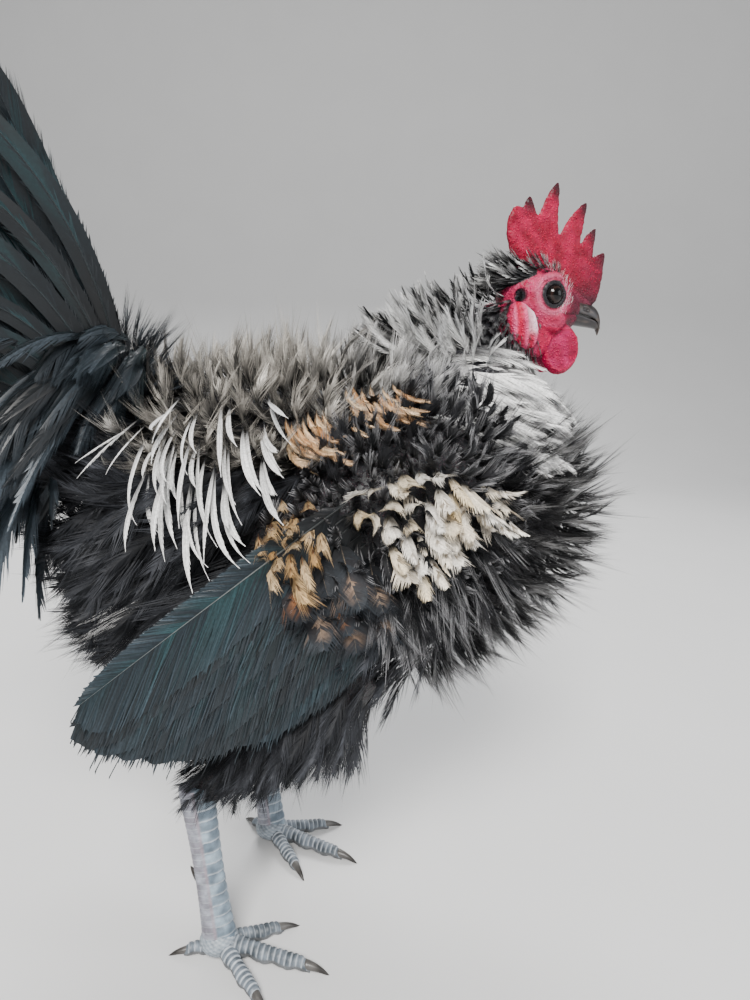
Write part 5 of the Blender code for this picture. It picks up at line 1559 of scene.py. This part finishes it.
def neck_coat(soft):
    """The white ruff that flows forward round the head, the nape above it and black curls below."""
    rng = np.random.default_rng(60)
    neck = Loft(NECK)
    seats = scatter(neck, rng, 3.3, (0.1, 4.9), round_the_neck, in_ruff, -3)
    long = np.interp(seats.x, (90, 120, 160), (50, 42, 28)) * (1 - 0.45 * ramp(seats.z, 312, 326))
    fore = ramp(seats.out[:, 0], 0.2, 0.9)
    ruff = grow("ruff_hackles", seats, HACKLE, ruff_tones(seats, rng, 0.86), soft, long, 8.5, 12 + 32 * fore,
                -8 - 20 * fore, droop=0.45, wild=6)
    seats = scatter(neck, rng, 3.6, (0.1, 4.95), flow(1, 0.1, 0.5), on_nape, -2)
    high = ramp(seats.z, 315, 350)
    nape = grow("nape_hackles", seats, TUFTED, nape_tones(seats, rng), soft, 28 - 6 * high, 8 - 2.5 * high,
                38 + 8 * high, 44, wild=16)
    seats = scatter(neck, rng, 2.6, (1.5, 4.95), flow(0.5, 0.2, -0.8), by_the_lobe, -2)
    fringe = grow("lobe_fringe", seats, SPIKY, fringe_tones(seats, rng), soft, 10, 4.5, 14, 20, wild=16)
    seats = scatter(neck, rng, 5.0, (0.1, 4.4), flow(-0.5, 0.2, -1), on_throat, -3)
    throat = grow("throat_curls", seats, CURL, breast_tones(seats, rng), soft, 21, 10, 22, 84, wild=24)
    return [ruff, nape, fringe, throat]


def on_crown(s):
    ahead, _, above = head_own(s.points)
    return ((above > brow(ahead) + 0.4) & (ahead < 12) | (is_bare(s.points) < 0.3)) & (ahead < 13)


def crown_coat(soft):
    """Short spiky feathers over the crown, the ears' tufts and the face's bristles."""
    rng = np.random.default_rng(70)
    seats = scatter(skull_loft(), rng, 1.9, (0.2, 5.2), flow(1, 0.1, 0.1), on_crown, -1.0, 16000)
    behind = -head_own(seats.root)[0]
    silver = mix(CHARCOAL, WHITE, rng.random(len(seats)))
    tones = toned(BLACK, silver, silver, laced=0.65, stem=BLACK, tipped=0.7)
    crown = grow("crown_feathers", seats, SPIKY, tones, soft, 5 + 10 * ramp(behind, -8, 16),
                 3.0 + 2 * ramp(behind, 0, 16), 16 + 16 * ramp(behind, 4, 18), 30, wild=15)
    return [crown, ear_tufts(rng, soft), face_bristles(rng, soft)]


def face_seats(spots, lie, rng):
    """Seats on the face from the roots and normals of each side."""
    roots, outs = (np.concatenate(both) for both in zip(*spots))
    return Seats(roots, np.array(lie), outs, rng.uniform(0.1, 0.9, (len(roots), 2)))


def ear_tufts(rng, material):
    """Dark bristly feathers that close the ear."""
    count = 30
    spots = []
    for _, side in SIDES:
        turn, reach = rng.uniform(0, 2 * np.pi, count), np.sqrt(rng.uniform(0, 1, count))
        ahead, above = EAR[0] + 1.8 * reach * np.cos(turn), EAR[2] + 2.4 * reach * np.sin(turn)
        spots.append((head_place(ahead, side * 12.0, above), np.tile([-0.2, side, 0.1], (count, 1))))
    tones = toned(BLACK, CHARCOAL, SLATE, laced=0.4)
    seats = face_seats(spots, (-1.0, 0, -0.5), rng)
    return grow("ear_tufts", seats, SPIKY, tones, material, 3.0, 1.3, 36, 30, wild=16)


def face_bristles(rng, material):
    """Fine pale bristles in front of the eyes and along the brow."""
    count = 110
    stations = np.array(HEAD)[2:]
    spots = []
    for _, side in SIDES:
        turn, reach = rng.uniform(-1.2, 2.0, count), rng.uniform(8.6, 15.0, count)
        ahead, above = EYE[0] + reach * np.cos(turn), EYE[2] + reach * 0.95 * np.sin(turn)
        half = np.interp(ahead, stations[:, 0], stations[:, 1])
        half = half * np.sqrt(np.clip(1 - (above / 21) ** 2, 0.15, 1))
        spots.append((head_place(ahead, side * (half - 0.6), above), np.tile([0.25, side, 0.1], (count, 1))))
    tones = toned(WHITE, root=BRISTLE_ROOT)
    seats = face_seats(spots, (-0.5, 0, 1.0), rng)
    return grow("face_bristles", seats, BRISTLE, tones, material, 3.6, 1, 32, 20, wild=22)


def on_thigh(s):
    return ((s.z < 165) & (s.z > 96)) * np.interp(s.at, [0, 4], [1.1, 0.6])


def thigh_coat(name, side, material):
    rng = np.random.default_rng(80 if side < 0 else 81)
    lateral, rows = THIGHS[name]
    seats = scatter(Loft(rows, lateral), rng, 5.0, (0.2, 3.9), flow(0.35, 0, -1), on_thigh, -2.5, 14000)
    share = np.clip((seats.z - 96) / 60, 0, 1)
    return grow("drumstick_" + name, seats, FLUFF, fluff_tones(seats, rng), material, 9 + 22 * share,
                5 + 7 * share, 14, 14, wild=14)


def tail_coat(gloss, soft):
    """Main tail feathers in two leaves, sickles over them, and coverts and curls round the root."""
    rng = np.random.default_rng(90)
    main = fan("tail_main", RECTRIX, gloss, rng, 9, rise=(70, -5.6), x=(-62, -1.3), y=(2.5, 1.7),
               z=(292, -2.3), length=(141, -2), width=(20, 0.4), sway=(8, 1.6), lean=4, curl=6)
    sickles = fan("tail_sickles", SICKLE, gloss, rng, 5, rise=(76, -7), x=(-58, -3), y=(17, 1.6), z=(295, -4),
                  length=(180, -21), width=(15, -0.6), sway=(80, -4), lean=3, curl=4)
    return [main, sickles, tail_coverts(rng, gloss), tail_ruffle(rng, soft)]


def on_bulb(ball, depth):
    """Places and normals on the bulb at the tail's root, for directions on a ball."""
    turned = np.array(turned_by(TAIL_SLOPE, "Y"))
    size = np.array(TAIL_SIZE) - depth
    return (np.array(TAIL_CENTRE) + (ball * size) @ turned.T) * MM, unit((ball / size) @ turned.T)


def tail_ruffle(rng, material):
    """Short black curls over the front of the tail's root."""
    ball = unit(rng.normal(0, 1, (420, 3)))
    ball = ball[(ball[:, 0] > -0.45) & (ball[:, 2] > -0.6)]
    root, out = on_bulb(ball, 6)
    body = mix(BLACK, CHARCOAL, rng.random(len(ball)))
    tones = toned(body, mix(body, SLATE, 0.25), streak=CHARCOAL)
    seats = Seats(root, flow(0.5, 0.3, 0.8)(root), out, 0.5 + 0.45 * ball[:, :2])
    return grow("tail_ruffle", seats, CURL, tones, material, 16, 9, 28, 50, wild=26)


def fan(name, how, material, rng, count, rise, x, y, z, length, width, sway, lean, curl):
    """Feathers in a fan on each side. A pair is the first one's value and the step from one to the next."""
    k = np.tile(np.arange(count), 2)
    side = np.repeat([RIGHT, LEFT], count)
    x, y, z, length, width, sway = (first + step * k for first, step in (x, y, z, length, width, sway))
    rise = np.radians(rise[0] + k * rise[1])
    run = np.stack([-np.cos(rise), 0.02 * side * k, np.sin(rise)], -1)
    out = np.stack([0 * side, side, 0 * side], -1)
    place = np.stack([np.linspace(0.1, 0.9, 2 * count), np.full(2 * count, 0.5)], -1)
    seats = Seats(np.stack([x, side * y, z], -1) * MM, run, out, place)
    body = mix(BLACK, BLUE_BLACK, rng.uniform(0.3, 1, 2 * count))
    # Teal streaks are painted sheen.
    tones = toned(body, streak=mix(body, TEAL_SHEEN, 0.6), streaks=0.35, stem=TAIL_STEM)
    return grow(name, seats, how, tones, material, length, width, lean, curl, -side * sway, wild=3)


def tail_coverts(rng, material):
    """Long soft coverts that fall from the whole bulb at the tail's root, some with pale slate tips."""
    count = 250
    polar, around = np.arccos(rng.uniform(-1, 1, count)), rng.uniform(0, 2 * np.pi, count)
    ball = np.stack([np.sin(polar) * np.cos(around), np.cos(polar), np.sin(polar) * np.sin(around)], -1)
    ball[:, 0] = -np.abs(ball[:, 0]) * 0.9 + 0.25
    ball = unit(ball)
    ball = ball[(ball[:, 0] < -0.1) | (ball[:, 2] < -0.2)]
    count = len(ball)
    root, out = on_bulb(ball, 3)
    lot = rng.random(count)
    front = ramp(root[:, 0] / MM, -74, -52) * ramp(out[:, 2], 0.1, 0.6)
    body = mix(BLACK, COVERT_DARK, lot)
    tones = toned(body, mix(body, SLATE, (lot > 0.8) * (1 - front) * 0.8), mix(body, SLATE, 0.15),
                  streak=mix(body, SLATE, 0.25), streaks=0.2, stem=BLACK)
    seats = Seats(root, flow(0.7, 0.35, -0.5)(root), out, 0.5 + 0.45 * ball[:, [0, 2]])
    length = rng.uniform(66, 98, count) * (1 - 0.6 * front)
    return grow("tail_coverts", seats, RIBBON, tones, material, length, 12, 34, -18, wild=14, droop=1.1)


def build_coat(soft, gloss):
    coat = trunk_coat(soft) + neck_coat(soft) + crown_coat(soft)
    coat += [thigh_coat(name, side, soft) for name, side in SIDES]
    tail = tail_coat(gloss, soft)
    for name, side in SIDES:
        wing = [flights(name, side, gloss)] + wing_coat(name, side, soft)
        for piece in wing:
            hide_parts("wing_" + name)
        coat += wing
    for piece in tail:
        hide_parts("tail")
    return coat + tail


def build_stage():
    """A pale floor that turns up smoothly into a wall far behind the bird."""
    profile = [(-3.0, 0.0), (1.6, 0.0)]
    for k in range(1, 13):
        turn = math.pi / 2 * k / 12
        profile.append((1.6 + 1.2 * math.sin(turn), 1.2 * (1 - math.cos(turn))))
    profile.append((2.8, 4.0))
    verts = [(side, depth, height) for depth, height in profile for side in (-5.0, 5.0)]
    faces = [(2 * i, 2 * i + 1, 2 * i + 3, 2 * i + 2) for i in range(len(profile) - 1)]
    mesh = bpy.data.meshes.new("floor")
    mesh.from_pydata(verts, [], faces)
    mesh.shade_smooth()
    floor = add_object("floor", mesh)
    floor.rotation_euler.z = math.radians(CAMERA_AZIMUTH)
    mesh.materials.append(stage_material())


def area_light(name, place, size, power, colour):
    data = bpy.data.lights.new(name, "AREA")
    data.energy, data.size, data.color = power, size, colour
    made = add_object(name, data)
    made.location = place
    made.rotation_euler = (Vector(LIGHT_AIM) - Vector(place)).to_track_quat("-Z", "Y").to_euler()


def build_lights():
    area_light("key", (-0.6, -1.5, 1.7), 0.8, 98, (1.0, 0.98, 0.95))
    area_light("fill", (1.7, -1.1, 0.9), 1.4, 18, (0.93, 0.96, 1.0))
    area_light("rim", (0.3, 1.4, 1.6), 0.9, 40, (1.0, 1.0, 1.0))
    world = bpy.data.worlds.new("studio")
    world.use_nodes = True
    set_inputs(world.node_tree.nodes["Background"], Color=(0.85, 0.87, 0.9, 1), Strength=0.38)
    bpy.context.scene.world = world


def build_camera():
    a, p, r = (math.radians(v) for v in (CAMERA_AZIMUTH, CAMERA_PITCH, CAMERA_ROLL))
    ahead = np.array([-math.sin(a) * math.cos(p), math.cos(a) * math.cos(p), -math.sin(p)])
    right = np.array([math.cos(a), math.sin(a), 0.0])
    up = np.cross(right, ahead)
    level, top = right * math.cos(r) + up * math.sin(r), up * math.cos(r) - right * math.sin(r)
    data = bpy.data.cameras.new("camera")
    data.lens, data.sensor_width, data.sensor_fit = CAMERA_LENS, 36, "AUTO"
    data.clip_start = 0.01
    made = add_object("camera", data)
    turned = Matrix(np.stack([level, top, -ahead], 1).tolist()).to_4x4()
    made.matrix_world = Matrix.Translation(Vector(CAMERA_PLACE) + Vector(SHIFT)) @ turned
    bpy.context.scene.camera = made


def build_bird():
    soft = feather_material("soft_feather", 0.6, Specular_IOR_Level=0.16)
    gloss = feather_material("gloss_feather", 0.42, (0.5, 0.9, 0.9), Metallic=0.05, Specular_IOR_Level=0.35)
    scales, horn, wet = horn_material("leg_scales", 0.5), horn_material("horn", 0.35), eye_material()
    skin = skin_piece(skin_material())
    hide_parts("torso", "neck", "head", "comb", "thigh_right", "thigh_left", "wattle_right",
                "wattle_left", "earlobe_right", "earlobe_left", "wing_right", "wing_left", "tail")
    pieces = [skin]
    beaks = (("beak_top", UPPER_BEAK, "beak_upper"), ("beak_under", LOWER_BEAK, "beak_lower"))
    for name, rows, stands_for in beaks:
        piece = beak_piece(name, rows, horn)
        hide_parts(stands_for)
        pieces.append(piece)
    for name, side in SIDES:
        eye = eyeball(f"eyeball_{name}", side, wet)
        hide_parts("eye_" + name)
        leg = leg_piece(name, side, scales)
        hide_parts("leg_" + name)
        pieces += [eye, leg]
    claws = claw_piece(horn)
    toes = [f"claw_{toe}_{name}" for toe in TOES for name, _ in SIDES]
    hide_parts(*toes, "spur_right", "spur_left")
    pieces.append(claws)
    pieces += build_coat(soft, gloss)
    for piece in pieces:
        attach(piece, "root")


build_bird()
build_stage()
build_lights()
build_camera()
